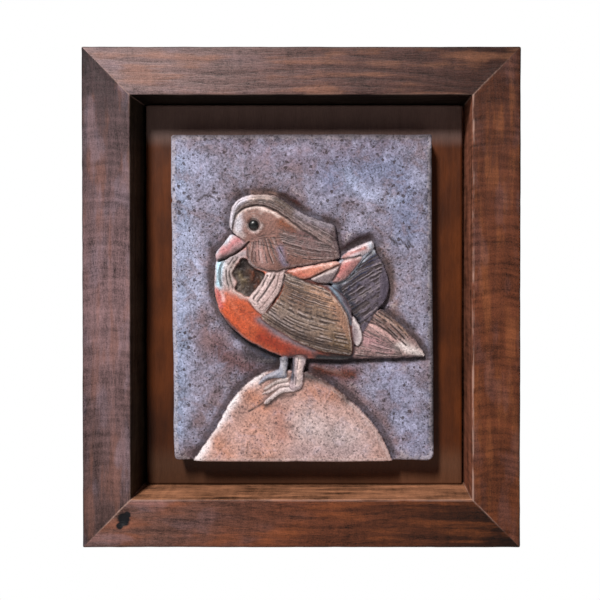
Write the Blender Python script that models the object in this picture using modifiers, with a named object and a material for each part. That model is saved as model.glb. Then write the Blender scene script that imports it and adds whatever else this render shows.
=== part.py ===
# A wall panel: a fired clay relief of a mandarin duck that stands on a rounded rock, fixed to a
# wooden board that is set deep in a mitred pine frame. Metres, +Z up. The front faces -Y and the
# wall is the plane y = 0. The origin is the middle of the top rail's back face.

import math

import bmesh
import bpy
import numpy as np
from mathutils import Vector
from mathutils.geometry import delaunay_2d_cdt

# Frame, over its outside, and its members
FRAME_WIDTH = 0.280
FRAME_HEIGHT = 0.320
MEMBER_WIDTH = 0.031
ARRIS_RADIUS = 0.0012
ARRIS_SEGMENTS = 3
MITRE_GAP = 0.0003
MITRE_BEVEL = 0.0004

# Ledge behind the board, along the back of every member
LEDGE_WIDTH = 0.012
LEDGE_THICKNESS = 0.006
SEAT_GAP = 0.0003

# Board, and how far it lies behind the frame's front
RECESS_DEPTH = 0.030
BOARD_THICKNESS = 0.009
BOARD_SIDE_GAP = 0.0020
BOARD_END_GAP = 0.0005
BOARD_ROUNDING = 0.0015
BOARD_SEGMENTS = 3

# Dark knot in the bottom rail, beside its left mitre
KNOT_WIDTH = 0.0082
KNOT_HEIGHT = 0.0110
KNOT_DEPTH = 0.0016
KNOT_FROM_MITRE = 0.0064
KNOT_ACROSS_MEMBER = 0.58
KNOT_TURN = math.radians(12)

# Clay tile
TILE_WIDTH = 0.171
TILE_HEIGHT = 0.2142
TILE_THICKNESS = 0.0177
TILE_DROP = 0.0009
TILE_LEAN = 0.0018
TILE_ARRIS = 0.0015
TILE_CORNERS = {"bottom left": 0.0033, "bottom right": 0.0052, "top right": 0.0013, "top left": 0.0026}
CORNER_SEGMENTS = 4

# Figure on the tile: it is drawn on a grid of square cells, from the tile's lower edge (row 0) to
# the top of the crest, and columns count from the tile's middle
FIGURE_HEIGHT = 0.175
FIGURE_ROWS = 267
RELIEF_HEIGHT = 0.0065
EDGE_WIDTH = 0.0016
HOLLOW_DEPTH = 0.0022
HOLLOW_WIDTH = 0.0070
GROOVE_WIDTH = 0.0013
EYE_PLACE = (-47.5, 236)
EYE_RADIUS = 0.0035
EYE_HEIGHT = 0.0017
LID_DEPTH = 0.0006

# Spacing of the tile's mesh
RING_STEP = 0.0021
STROKE_STEP = 0.0028
FIGURE_STEP = 0.0038
GROUND_STEP = 0.0085
LEAST_STEP = 0.0009
EYE_SEGMENTS = 10
CURVE_SEGMENTS = 6

FRAME_DEPTH = RECESS_DEPTH + BOARD_THICKNESS + SEAT_GAP + LEDGE_THICKNESS
FRAME_TOP = MEMBER_WIDTH / 2
FRAME_MIDDLE = FRAME_TOP - FRAME_HEIGHT / 2
FRAME_BOTTOM = FRAME_TOP - FRAME_HEIGHT
BOARD_BACK = -(LEDGE_THICKNESS + SEAT_GAP)
BOARD_FRONT = BOARD_BACK - BOARD_THICKNESS
TILE_BACK = BOARD_FRONT - SEAT_GAP
CELL = FIGURE_HEIGHT / FIGURE_ROWS

# Raised forms, from the lowest to the one on top: the outline in grid cells, then the height at the
# edge, what the middle adds to it (both as shares of RELIEF_HEIGHT), and the cells that this takes
ROCK = [
    (-110, 0), (-95, 21), (-82, 41), (-71, 61), (-52, 81), (-35, 90), (-22, 91.5), (4, 89.5),
    (28, 77), (46, 62.5), (67, 42), (82, 19), (90, 1), (96, -14), (-119, -14),
]
TAIL = [
    (50, 104), (78, 103.5), (98, 104), (116, 105), (122, 107), (112, 122), (98, 137), (84, 148.5),
    (76, 152), (67, 142), (59, 130), (53, 116),
]
FAN = [
    (69, 214), (76, 205), (81, 196), (85, 184), (86, 174), (84, 164), (77, 154), (70, 145), (60, 129),
    (56, 140), (47, 152), (38, 164), (29, 176), (38, 180), (49, 188), (60, 201),
]
BODY = [
    (-86, 199), (-87.5, 181), (-86, 163), (-81, 148), (-71, 135), (-56, 122.5), (-32, 110),
    (-12, 103.5), (13, 103), (48, 103.5), (52, 125), (46, 158), (28, 176), (-12, 196), (-32, 216),
    (-62, 222), (-80, 206),
]
THROAT_HOLLOW = [
    (-55, 203), (-46, 195), (-36, 188), (-42, 174), (-54, 166), (-66, 172), (-69, 187), (-64, 200),
]
UPPER_SAIL = [(39, 203), (48, 211), (60, 218), (69.5, 220.5), (70, 213), (60, 206), (50, 202)]
LONG_SAIL = [
    (-15, 189.5), (-6, 193.5), (9, 196), (24, 199.5), (35, 200), (37, 196), (24, 190), (10, 184),
    (-2, 182.5),
]
MIDDLE_SAIL = [(9, 183), (22, 190.5), (35, 196), (38, 191), (31, 181), (19, 178)]
LOWER_SAIL = [(30, 180), (35, 189), (39, 199), (50, 204.5), (59, 203.5), (51, 192), (43, 183), (36, 179.5)]
CRESCENT = [(50, 145), (55, 140), (59, 129), (59, 121), (55, 116), (51, 120), (49.5, 131)]
WING = [
    (-16, 188), (4, 180), (23, 173), (34, 163), (44, 148), (48.5, 129), (49.5, 109), (38, 108),
    (13, 113), (-17, 128), (-40, 144.5), (-34, 151), (-24, 163), (-18, 175),
]
COLLAR = [
    (-34, 190), (-38, 183), (-45, 173), (-53, 164), (-50, 158), (-39, 148), (-29, 160), (-21, 171),
    (-17, 182), (-17, 192), (-25, 196),
]
CREST = [
    (-71, 231), (-72, 241), (-70, 254), (-61, 263), (-42, 266.5), (-24, 263), (-2, 249), (18, 240.5),
    (32, 235), (34, 224), (37, 208), (34, 202), (8, 196), (-12, 193), (-25, 189), (-42, 191.5),
    (-53, 198), (-55, 212), (-60, 222),
]
CREST_LINE = [
    (-69, 229), (-67, 241), (-61, 250), (-47, 255), (-31, 252.5), (-15, 243), (0, 232), (15, 222.5),
]
FACE = CREST_LINE + [
    (27, 216), (34, 210), (35, 205), (22, 201.5), (8, 198.5), (-12, 195.5), (-26, 191.5), (-42, 194),
    (-50, 200), (-53, 213), (-60, 222),
]
BEAK = [
    (-70.5, 226), (-78.5, 217), (-84.5, 209.5), (-86, 204.5), (-83.5, 200), (-76, 203), (-62, 211),
    (-55, 216), (-60, 222.5),
]
LEFT_LEG = [
    (-22, 107), (-14, 107), (-15, 91), (-17, 84), (-30, 84), (-43, 78), (-38, 86), (-28, 91), (-23, 94),
]
RIGHT_LEG = [(-7.5, 107), (3.5, 107), (1.5, 91), (0, 76), (-8, 71.5), (-12.5, 77), (-10.5, 91)]
OUTER_TOE = [(-4, 77), (-20, 75), (-29, 69), (-38, 60), (-34, 58.5), (-25, 66), (-18, 70), (-6, 71.5)]
MIDDLE_TOE = [(-10, 80.5), (-21, 79.5), (-31, 74), (-40, 68), (-32, 69.5), (-21, 75), (-11, 76.5)]
INNER_TOE = [(-14, 85), (-26, 82), (-38, 73.5), (-35, 72.5), (-26, 77.5), (-15, 80.5)]
FORMS = [
    (ROCK, 0.20, 0.24, 12),
    (TAIL, 0.25, 0.25, 10),
    (FAN, 0.34, 0.22, 12),
    (BODY, 0.34, 0.34, 22),
    (THROAT_HOLLOW, 0.40, -0.20, 9),
    (UPPER_SAIL, 0.60, 0.16, 4),
    (MIDDLE_SAIL, 0.58, 0.14, 4),
    (LONG_SAIL, 0.64, 0.18, 5),
    (LOWER_SAIL, 0.66, 0.18, 5),
    (CRESCENT, 0.56, 0.16, 4),
    (WING, 0.78, 0.22, 16),
    (COLLAR, 0.76, 0.16, 6),
    (CREST, 0.48, 0.30, 6),
    (FACE, 0.68, 0.32, 18),
    (BEAK, 0.62, 0.30, 7),
    (INNER_TOE, 0.48, 0.12, 3),
    (MIDDLE_TOE, 0.50, 0.14, 3),
    (LEFT_LEG, 0.46, 0.22, 4),
    (OUTER_TOE, 0.54, 0.14, 3),
    (RIGHT_LEG, 0.56, 0.22, 5),
]

# Single grooves in grid cells, and their depth as a share of RELIEF_HEIGHT
MOUTH_LINE = [(-52, 219), (-61, 211), (-72, 204.5), (-82, 200.5)]
COLLAR_LINE = [(-26, 188), (-32, 176), (-44, 160)]
WING_LINE = [(-17, 186), (-21, 171), (-34, 150)]
LONG_SAIL_LINE = [(8, 183), (22, 190), (36, 196.5)]
LOWER_SAIL_LINE = [(30.5, 181), (35, 189), (38.5, 198)]
UPPER_SAIL_LINE = [(38, 203.5), (49, 203.5), (58, 207.5)]
SAIL_EDGE_LINE = [(-14, 187), (-2, 182), (12, 177.5), (22, 177), (34, 179.5), (43, 183), (52, 192), (61, 204)]
GROOVES = [
    (CREST_LINE, 0.20),
    (MOUTH_LINE, 0.20),
    (COLLAR_LINE, 0.18),
    (WING_LINE, 0.20),
    (LONG_SAIL_LINE, 0.14),
    (LOWER_SAIL_LINE, 0.16),
    (UPPER_SAIL_LINE, 0.16),
    (SAIL_EDGE_LINE, 0.16),
]

# Families of grooves: the first and the last one in grid cells, how far apart they are in cells at
# their middles, and their depth
STROKES = [
    ([(-43, 218), (-44.5, 208), (-44, 199)], [(-30, 221), (-25, 209), (-18, 198)], 5.8, 0.15),
    ([(-19, 228), (6, 221), (30, 213)], [(-10, 209), (9, 206), (29, 204)], 5.5, 0.15),
    ([(-13, 177), (10, 170), (30, 159)], [(-33, 143), (0, 125), (42, 113)], 7.7, 0.16),
    ([(44, 182), (60, 190), (76, 197)], [(60, 144), (66, 149), (72, 153)], 9.0, 0.15),
    ([(80, 147), (90, 140), (102, 129)], [(66, 131), (84, 121), (107, 110)], 6.6, 0.14),
    ([(63, 123), (82, 115), (100, 110)], [(60, 109), (78, 107.5), (96, 107)], 4.2, 0.14),
]


def clear_scene():
    for old in list(bpy.data.objects):
        bpy.data.objects.remove(old, do_unlink=True)


def new_collection(name):
    group = bpy.data.collections.new(name)
    bpy.context.scene.collection.children.link(group)
    return group


def new_material(name, colour, roughness):
    material = bpy.data.materials.new(name)
    material.use_nodes = True
    shader = material.node_tree.nodes["Principled BSDF"]
    shader.inputs["Base Color"].default_value = (*colour, 1.0)
    shader.inputs["Roughness"].default_value = roughness
    shader.inputs["Metallic"].default_value = 0.0
    return material


def new_object(name, body, group, material, parent, place, turn=0.0):
    mesh = bpy.data.meshes.new(name)
    body.to_mesh(mesh)
    body.free()
    mesh.materials.append(material)
    shape = bpy.data.objects.new(name, mesh)
    group.objects.link(shape)
    shape.parent = parent
    shape.location = place
    shape.rotation_euler = (0.0, turn, 0.0)
    return shape


def smooth_shading(shape, angle):
    shape.data.shade_smooth()
    shape.data.set_sharp_from_angle(angle=angle)


# Frame members

def arris(corner_x, corner_y, start_angle):
    points = []
    for i in range(ARRIS_SEGMENTS + 1):
        angle = start_angle + math.pi / 2 * i / ARRIS_SEGMENTS
        points.append((corner_x + ARRIS_RADIUS * math.cos(angle), corner_y + ARRIS_RADIUS * math.sin(angle)))
    return points


def member_section():
    # How far in from the frame's outer edge, and the place from the wall (0) to the front
    ledge_edge = MEMBER_WIDTH + LEDGE_WIDTH
    front_arc = -FRAME_DEPTH + ARRIS_RADIUS
    section = [(0.0, 0.0)]
    section += arris(ARRIS_RADIUS, front_arc, math.pi)
    section += arris(MEMBER_WIDTH - ARRIS_RADIUS, front_arc, 1.5 * math.pi)
    section += [(MEMBER_WIDTH, -LEDGE_THICKNESS), (ledge_edge, -LEDGE_THICKNESS), (ledge_edge, 0.0)]
    return section


def inset(outline, amount):
    # The counter-clockwise outline, with every side moved inward
    corners = [Vector(corner) for corner in outline]
    moved = []
    for i, corner in enumerate(corners):
        came = (corner - corners[i - 1]).normalized()
        goes = (corners[(i + 1) % len(corners)] - corner).normalized()
        shift = Vector((-came.y - goes.y, came.x + goes.x)) / (1 + came.dot(goes))
        moved.append(tuple(corner + shift * amount))
    return moved


def member_body(length):
    # The member runs along X with its outer edge at z = 0, and each end slopes at the mitre's 45 degrees
    section = member_section()
    tip = length / 2 - MITRE_GAP / 2 * math.sqrt(2)
    shoulder = tip - MITRE_BEVEL * math.sqrt(2)
    end = inset(section, MITRE_BEVEL)
    body = bmesh.new()
    rings = []
    steps = [(-1, tip, end), (-1, shoulder, section), (1, shoulder, section), (1, tip, end)]
    for side, reach, outline in steps:
        rings.append([body.verts.new((side * (reach - inward), depth, -inward)) for inward, depth in outline])
    body.faces.new(rings[0])
    body.faces.new(rings[-1])
    for near, far in zip(rings, rings[1:]):
        for i in range(len(section)):
            j = (i + 1) % len(section)
            body.faces.new((near[i], near[j], far[j], far[i]))
    bmesh.ops.recalc_face_normals(body, faces=body.faces)
    return body


def knot_cutter(group, parent):
    ball = bmesh.new()
    bmesh.ops.create_uvsphere(ball, u_segments=14, v_segments=8, radius=1.0)
    size = Vector((KNOT_WIDTH / 2, KNOT_DEPTH, KNOT_HEIGHT / 2))
    for vertex in ball.verts:
        vertex.co = vertex.co * size
    inward = KNOT_ACROSS_MEMBER * MEMBER_WIDTH
    along = -FRAME_WIDTH / 2 + inward + KNOT_FROM_MITRE
    place = (along, -FRAME_DEPTH, FRAME_BOTTOM + inward)
    dark_knot = new_material("dark_knot", (0.012, 0.011, 0.012), 0.6)
    cutter = new_object("knot_cutter", ball, group, dark_knot, parent, place, KNOT_TURN)
    cutter.hide_render = True
    cutter.display_type = "WIRE"
    return cutter


def build_frame(parts, cutters, parent):
    stained_pine = new_material("stained_pine", (0.16, 0.085, 0.055), 0.5)
    places = {
        "frame_top_rail": (FRAME_WIDTH, (0.0, 0.0, FRAME_TOP), 0.0),
        "frame_bottom_rail": (FRAME_WIDTH, (0.0, 0.0, FRAME_BOTTOM), math.pi),
        "frame_left_stile": (FRAME_HEIGHT, (-FRAME_WIDTH / 2, 0.0, FRAME_MIDDLE), -math.pi / 2),
        "frame_right_stile": (FRAME_HEIGHT, (FRAME_WIDTH / 2, 0.0, FRAME_MIDDLE), math.pi / 2),
    }
    for name, (length, place, turn) in places.items():
        member = new_object(name, member_body(length), parts, stained_pine, parent, place, turn)
        smooth_shading(member, math.radians(40))
    pit = bpy.data.objects["frame_bottom_rail"].modifiers.new("knot", "BOOLEAN")
    pit.operation = "DIFFERENCE"
    pit.object = knot_cutter(cutters, parent)


def build_board(parts, parent):
    board_wood = new_material("board_wood", (0.17, 0.075, 0.035), 0.5)
    body = bmesh.new()
    bmesh.ops.create_cube(body, size=1.0)
    opening_width = FRAME_WIDTH - 2 * MEMBER_WIDTH
    opening_height = FRAME_HEIGHT - 2 * MEMBER_WIDTH
    size = Vector((opening_width - 2 * BOARD_SIDE_GAP, BOARD_THICKNESS, opening_height - 2 * BOARD_END_GAP))
    for vertex in body.verts:
        vertex.co = vertex.co * size
    place = (0.0, (BOARD_BACK + BOARD_FRONT) / 2, FRAME_MIDDLE)
    board = new_object("backing_board", body, parts, board_wood, parent, place)
    rounding = board.modifiers.new("rounding", "BEVEL")
    rounding.width = BOARD_ROUNDING
    rounding.segments = BOARD_SEGMENTS
    smooth_shading(board, math.radians(40))


# Curves on the tile's face, as arrays of (x, z) from the middle of its lower edge

def on_tile(cells):
    return np.array(cells, float) * CELL


def smooth_curve(points, closed):
    # A Catmull-Rom curve through the points
    count = len(points)
    spans = count if closed else count - 1
    shares = np.arange(CURVE_SEGMENTS)[:, None] / CURVE_SEGMENTS
    pieces = []
    for i in range(spans):
        if closed:
            before, start, end, after = (points[(i + k) % count] for k in (-1, 0, 1, 2))
        else:
            before, start, end, after = (points[min(max(i + k, 0), count - 1)] for k in (-1, 0, 1, 2))
        linear = (end - before) * shares
        square = (2 * before - 5 * start + 4 * end - after) * shares ** 2
        cube = (3 * start - before - 3 * end + after) * shares ** 3
        pieces.append(start + (linear + square + cube) / 2)
    if not closed:
        pieces.append(points[-1:])
    return np.vstack(pieces)


def even_points(curve, closed, step):
    # The curve again, as points at an even distance along it
    path = np.vstack([curve, curve[:1]]) if closed else curve
    lengths = np.hypot(*np.diff(path, axis=0).T)
    along = np.concatenate([[0.0], np.cumsum(lengths)])
    count = max(int(round(along[-1] / step)), 2)
    marks = np.linspace(0.0, along[-1], count + 1)
    if closed:
        marks = marks[:-1]
    return np.column_stack([np.interp(marks, along, path[:, k]) for k in (0, 1)])


def side_points(curve, closed, offset):
    # The points moved square to the curve, to its left when offset is above 0
    if closed:
        run = np.roll(curve, -1, axis=0) - np.roll(curve, 1, axis=0)
    else:
        run = np.gradient(curve, axis=0)
    run = run / np.hypot(*run.T)[:, None]
    return curve + offset * np.column_stack([-run[:, 1], run[:, 0]])


def distance_to_curve(points, curve, closed):
    start = curve if closed else curve[:-1]
    step = (np.roll(curve, -1, axis=0) if closed else curve[1:]) - start
    offset = points[:, None, :] - start
    share = np.clip((offset * step).sum(-1) / (step * step).sum(-1), 0.0, 1.0)
    gap = offset - share[..., None] * step
    return np.sqrt((gap ** 2).sum(-1).min(axis=1))


def depth_inside(points, outline):
    # Distance to the outline: above 0 inside it, below 0 outside
    start = outline
    end = np.roll(outline, -1, axis=0)
    above = (start[:, 1] > points[:, None, 1]) != (end[:, 1] > points[:, None, 1])
    rise = np.where(start[:, 1] == end[:, 1], 1.0, end[:, 1] - start[:, 1])
    crossing = start[:, 0] + (points[:, None, 1] - start[:, 1]) * (end[:, 0] - start[:, 0]) / rise
    inside = (above & (points[:, None, 0] < crossing)).sum(axis=1) % 2 == 1
    distance = distance_to_curve(points, outline, True)
    return np.where(inside, distance, -distance)


def tile_outline():
    half = TILE_WIDTH / 2
    corners = [
        ("bottom left", -half, 0.0, math.pi),
        ("bottom right", half, 0.0, 1.5 * math.pi),
        ("top right", half, TILE_HEIGHT, 0.0),
        ("top left", -half, TILE_HEIGHT, 0.5 * math.pi),
    ]
    points = []
    for name, x, z, angle in corners:
        radius = TILE_CORNERS[name]
        middle_x = x - math.copysign(radius, x)
        middle_z = z + radius if z == 0.0 else z - radius
        for i in range(CORNER_SEGMENTS + 1):
            turn = angle + math.pi / 2 * i / CORNER_SEGMENTS
            points.append((middle_x + radius * math.cos(turn), middle_z + radius * math.sin(turn)))
    outline = np.array(points)
    outline[:, 0] -= TILE_LEAN * (outline[:, 1] / TILE_HEIGHT - 0.5)
    return outline


def form_outlines():
    return [smooth_curve(on_tile(cells), True) for cells, level, middle, cells_in in FORMS]


def groove_curves():
    curves = [(smooth_curve(on_tile(cells), False), depth) for cells, depth in GROOVES]
    for first, last, spacing, depth in STROKES:
        middle = len(first) // 2
        spread = math.dist(first[middle], last[middle])
        for share in np.linspace(0.0, 1.0, round(spread / spacing) + 1):
            stroke = on_tile(first) * (1 - share) + on_tile(last) * share
            curves.append((smooth_curve(stroke, False), depth))
    return curves


def smooth_step(share):
    share = np.clip(share, 0.0, 1.0)
    return share * share * (3 - 2 * share)


def relief(points, outlines, grooves):
    # How far the carved face stands in front of the tile's plain face
    height = np.zeros(len(points))
    nearest = np.full(len(points), -1.0)
    for (cells, level, middle, cells_in), outline in zip(FORMS, outlines):
        depth = depth_inside(points, outline)
        nearest = np.maximum(nearest, depth)
        dome = np.sin(np.pi / 2 * np.clip(depth / (cells_in * CELL), 0.0, 1.0))
        cover = smooth_step(depth / EDGE_WIDTH + 0.5)
        height = height * (1 - cover) + RELIEF_HEIGHT * (level + middle * dome) * cover
    for curve, depth in grooves:
        share = np.clip(1 - distance_to_curve(points, curve, False) / GROOVE_WIDTH, 0.0, 1.0)
        height -= RELIEF_HEIGHT * depth * share
    outside = np.clip(-nearest, 0.0, None)
    hollow = np.exp(-(outside / HOLLOW_WIDTH) ** 2) * smooth_step(outside / EDGE_WIDTH + 0.5)
    height -= HOLLOW_DEPTH * np.where(nearest < 0, hollow, 0.0)
    from_eye = np.hypot(*(points - on_tile(EYE_PLACE)).T) / EYE_RADIUS
    height += EYE_HEIGHT * np.sqrt(np.clip(1 - from_eye ** 2, 0.0, 1.0))
    height -= LID_DEPTH * np.clip(1 - np.abs(from_eye - 1.0) / 0.5, 0.0, 1.0)
    return height


def lattice(low, high, step):
    # Points in rows that are shifted by half a step, as in a honeycomb
    rows = []
    for k, z in enumerate(np.arange(low[1], high[1], step * math.sqrt(3) / 2)):
        x = np.arange(low[0], high[0], step) + (k % 2) * step / 2
        rows.append(np.column_stack([x, np.full(len(x), z)]))
    return np.vstack(rows)


def shown_points(points, later_outlines):
    # Leaves out the points that a form on top of this one covers
    shown = np.ones(len(points), bool)
    for outline in later_outlines:
        shown &= depth_inside(points, outline) < EDGE_WIDTH
    return points[shown]


def clear_points(points, curves):
    # Leaves out the points that lie in a groove along one of the curves
    nearest = np.min([distance_to_curve(points, curve, False) for curve in curves], axis=0)
    return points[nearest > GROOVE_WIDTH]


def spread_out(groups, border, outline):
    # Keeps points that are inside the border and at least LEAST_STEP from every point kept before them
    kept = [point for point in border]
    for points, least in groups:
        for point in points[depth_inside(points, outline) > least]:
            if np.hypot(*(np.array(kept) - point).T).min() > least:
                kept.append(point)
    return np.array(kept)


def face_points(outline, border, outlines, grooves):
    around = np.linspace(0.0, 2 * np.pi, EYE_SEGMENTS, endpoint=False)
    circle = np.column_stack([np.cos(around), np.sin(around)]) * EYE_RADIUS
    groups = [(side_points(border, True, inset), inset * 0.6) for inset in (TILE_ARRIS / 3, TILE_ARRIS)]
    for share in (0.1, 0.6, 1.0, 1.5):
        groups.append((on_tile(EYE_PLACE) + circle * share, LEAST_STEP))
    for offset in (0.0, GROOVE_WIDTH, -GROOVE_WIDTH):
        for curve, depth in grooves:
            line = even_points(curve, False, STROKE_STEP)
            groups.append((side_points(line, False, offset), LEAST_STEP))
    edge_lines = [curve for curve, depth in grooves[:len(GROOVES)]]
    for i in reversed(range(len(outlines))):
        ring = even_points(outlines[i], True, RING_STEP)
        turn = 1 if ring_area(ring) > 0 else -1
        for offset in (EDGE_WIDTH / 2, -EDGE_WIDTH / 2):
            side = clear_points(side_points(ring, True, turn * offset), edge_lines)
            groups.append((shown_points(side, outlines[i + 1:]), LEAST_STEP))
    everything = np.vstack(outlines)
    low, high = everything.min(axis=0), everything.max(axis=0)
    groups.append((lattice(low, high, FIGURE_STEP), FIGURE_STEP * 0.6))
    groups.append((lattice(outline.min(axis=0), outline.max(axis=0), GROUND_STEP), GROUND_STEP * 0.6))
    return spread_out(groups, border, outline)


def ring_area(ring):
    following = np.roll(ring, -1, axis=0)
    return (ring[:, 0] * following[:, 1] - following[:, 0] * ring[:, 1]).sum() / 2


def triangles(points, border_count):
    loop = list(range(border_count))
    flat = [Vector(point) for point in points]
    found = delaunay_2d_cdt(flat, [], [loop], 1, 1e-7)
    source = [origins[0] for origins in found[3]]
    return [[source[k] for k in face] for face in found[2]]


def tile_body():
    outline = tile_outline()
    border = even_points(outline, True, GROUND_STEP / 2)
    outlines = form_outlines()
    grooves = groove_curves()
    points = face_points(outline, border, outlines, grooves)
    height = relief(points, outlines, grooves)
    edge = np.clip(1 - depth_inside(points, outline) / TILE_ARRIS, 0.0, 1.0)
    edge[:len(border)] = 1.0
    height -= TILE_ARRIS * (1 - np.sqrt(1 - edge ** 2))
    body = bmesh.new()
    front = [body.verts.new((x, -TILE_THICKNESS - rise, z)) for (x, z), rise in zip(points, height)]
    back = [body.verts.new((x, 0.0, z)) for x, z in border]
    for face in triangles(points, len(border)):
        body.faces.new([front[k] for k in face])
    for face in triangles(border, len(border)):
        body.faces.new([back[k] for k in reversed(face)])
    for i in range(len(border)):
        j = (i + 1) % len(border)
        body.faces.new((front[i], back[i], back[j], front[j]))
    bmesh.ops.recalc_face_normals(body, faces=body.faces)
    return body


def build_tile(parts, parent):
    fired_clay = new_material("fired_clay", (0.33, 0.28, 0.29), 0.8)
    place = (0.0, TILE_BACK, FRAME_MIDDLE - TILE_DROP - TILE_HEIGHT / 2)
    tile = new_object("relief_tile", tile_body(), parts, fired_clay, parent, place)
    smooth_shading(tile, math.radians(35))


def main():
    clear_scene()
    parts = new_collection("decorative_wall_panel")
    cutters = new_collection("cutters")
    panel = bpy.data.objects.new("panel", None)
    parts.objects.link(panel)
    build_frame(parts, cutters, panel)
    build_board(parts, panel)
    build_tile(parts, panel)


main()
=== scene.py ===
import math

import bmesh
import bpy
import numpy as np
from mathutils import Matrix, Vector
from mathutils.geometry import delaunay_2d_cdt
from mathutils.kdtree import KDTree


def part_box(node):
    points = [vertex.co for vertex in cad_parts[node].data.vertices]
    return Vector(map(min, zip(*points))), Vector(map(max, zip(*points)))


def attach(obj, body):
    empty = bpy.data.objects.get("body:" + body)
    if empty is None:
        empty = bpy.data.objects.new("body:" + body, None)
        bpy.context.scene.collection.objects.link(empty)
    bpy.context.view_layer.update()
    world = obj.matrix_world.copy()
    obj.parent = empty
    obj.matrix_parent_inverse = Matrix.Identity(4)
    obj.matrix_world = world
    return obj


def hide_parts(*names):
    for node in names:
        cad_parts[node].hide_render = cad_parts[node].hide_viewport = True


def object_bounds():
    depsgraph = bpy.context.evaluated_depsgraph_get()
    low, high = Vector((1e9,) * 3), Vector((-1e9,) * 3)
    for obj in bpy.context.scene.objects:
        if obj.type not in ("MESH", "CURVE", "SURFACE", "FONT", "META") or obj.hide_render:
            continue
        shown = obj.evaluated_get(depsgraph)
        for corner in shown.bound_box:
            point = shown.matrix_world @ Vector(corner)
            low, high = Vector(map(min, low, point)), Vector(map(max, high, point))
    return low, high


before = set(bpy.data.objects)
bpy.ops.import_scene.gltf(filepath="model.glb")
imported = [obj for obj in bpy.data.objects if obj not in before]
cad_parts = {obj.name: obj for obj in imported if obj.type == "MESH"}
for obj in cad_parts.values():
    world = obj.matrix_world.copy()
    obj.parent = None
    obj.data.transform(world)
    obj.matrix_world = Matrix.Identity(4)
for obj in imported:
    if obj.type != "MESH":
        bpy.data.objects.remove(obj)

cadLow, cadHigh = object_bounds()
tileLow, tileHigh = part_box("relief_tile")


# Node graphs, for materials and for Geometry Nodes

class Wire:
    # A node's output socket that can be used in sums
    def __init__(self, graph, socket):
        self.graph = graph
        self.socket = socket

    def sum(self, operation, first, second):
        return self.graph.add("ShaderNodeMath", {"operation": operation}, {0: first, 1: second})

    def __add__(self, other):
        return self.sum("ADD", self, other)

    def __radd__(self, other):
        return self.sum("ADD", other, self)

    def __sub__(self, other):
        return self.sum("SUBTRACT", self, other)

    def __rsub__(self, other):
        return self.sum("SUBTRACT", other, self)

    def __mul__(self, other):
        return self.sum("MULTIPLY", self, other)

    def __rmul__(self, other):
        return self.sum("MULTIPLY", other, self)

    def __truediv__(self, other):
        return self.sum("DIVIDE", self, other)

    def __rtruediv__(self, other):
        return self.sum("DIVIDE", other, self)

    def __pow__(self, other):
        return self.sum("POWER", self, other)


class Graph:
    def __init__(self, tree):
        self.tree = tree

    def add(self, kind, settings=None, inputs=None, output=0):
        node = self.tree.nodes.new(kind)
        for name, value in (settings or {}).items():
            if name == "stops":
                self.setStops(node.color_ramp, value)
            else:
                setattr(node, name, value)
        for name, value in (inputs or {}).items():
            self.feed(node.inputs[name], value)
        return Wire(self, node.outputs[output]) if node.outputs else node

    def feed(self, socket, value):
        if isinstance(value, Wire):
            self.tree.links.new(value.socket, socket)
        else:
            socket.default_value = value

    def setStops(self, ramp, stops):
        while len(ramp.elements) < len(stops):
            ramp.elements.new(1.0)
        for element, (position, colour) in zip(ramp.elements, stops):
            element.position = position
            element.color = colour

    def split(self, vector):
        whole = self.add("ShaderNodeSeparateXYZ", {}, {0: vector})
        return [Wire(self, output) for output in whole.socket.node.outputs]

    def join(self, x, y, z):
        return self.add("ShaderNodeCombineXYZ", {}, {0: x, 1: y, 2: z})

    def noise(self, place, scale, detail=3.0, roughness=0.5, distortion=0.0):
        sizes = {"Vector": place, "Scale": scale, "Detail": detail, "Roughness": roughness}
        sizes["Distortion"] = distortion
        return self.add("ShaderNodeTexNoise", {}, sizes)

    def step(self, value, low, high, toLow=0.0, toHigh=1.0):
        # From toLow to toHigh, smoothly, as the value goes from low to high
        sizes = {"Value": value, "From Min": low, "From Max": high, "To Min": toLow, "To Max": toHigh}
        return self.add("ShaderNodeMapRange", {"interpolation_type": "SMOOTHSTEP"}, sizes)

    def blend(self, share, first, second, kind="MIX"):
        settings = {"data_type": "RGBA", "blend_type": kind, "clamp_factor": True}
        return self.add("ShaderNodeMix", settings, {0: share, 6: first, 7: second}, 2)

    def brighten(self, colour, amount):
        return self.add("ShaderNodeVectorMath", {"operation": "SCALE"}, {"Vector": colour, "Scale": amount})

    def attribute(self, name, output="Fac"):
        return self.add("ShaderNodeAttribute", {"attribute_name": name}, {}, output)


def paint(red, green, blue):
    # A colour as it is read off a screen, 0 to 255, turned into the linear one that shaders use
    parts = [channel / 255 for channel in (red, green, blue)]
    linear = [part / 12.92 if part <= 0.04045 else ((part + 0.055) / 1.055) ** 2.4 for part in parts]
    return (*linear, 1.0)


def newMaterial(name, fixed):
    material = bpy.data.materials.new(name)
    material.use_nodes = True
    shader = material.node_tree.nodes["Principled BSDF"]
    for socket, value in fixed.items():
        shader.inputs[socket].default_value = value
    return material, Graph(material.node_tree), shader


# Camera, lights and floor

studio = {
    "cameraPlace": (0.0314, -0.5373, -0.1135),
    "cameraTilt": math.radians(89.5),
    "lens": 46.33,
    "shift": (-0.0842, -0.0735),
    "keyFrom": (-0.31, -1.0, 0.88),
    "keyDistance": 1.6,
    "keySize": (0.24, 0.45),
    "keyPower": 34.0,
    "keyColour": (1.0, 0.975, 0.95),
    "fill": 0.06,
    "floorDrop": 0.29,
    "floorReach": (2.2, -2.6, 0.48),
    "floorColour": (0.78, 0.77, 0.76, 1.0),
}


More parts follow.
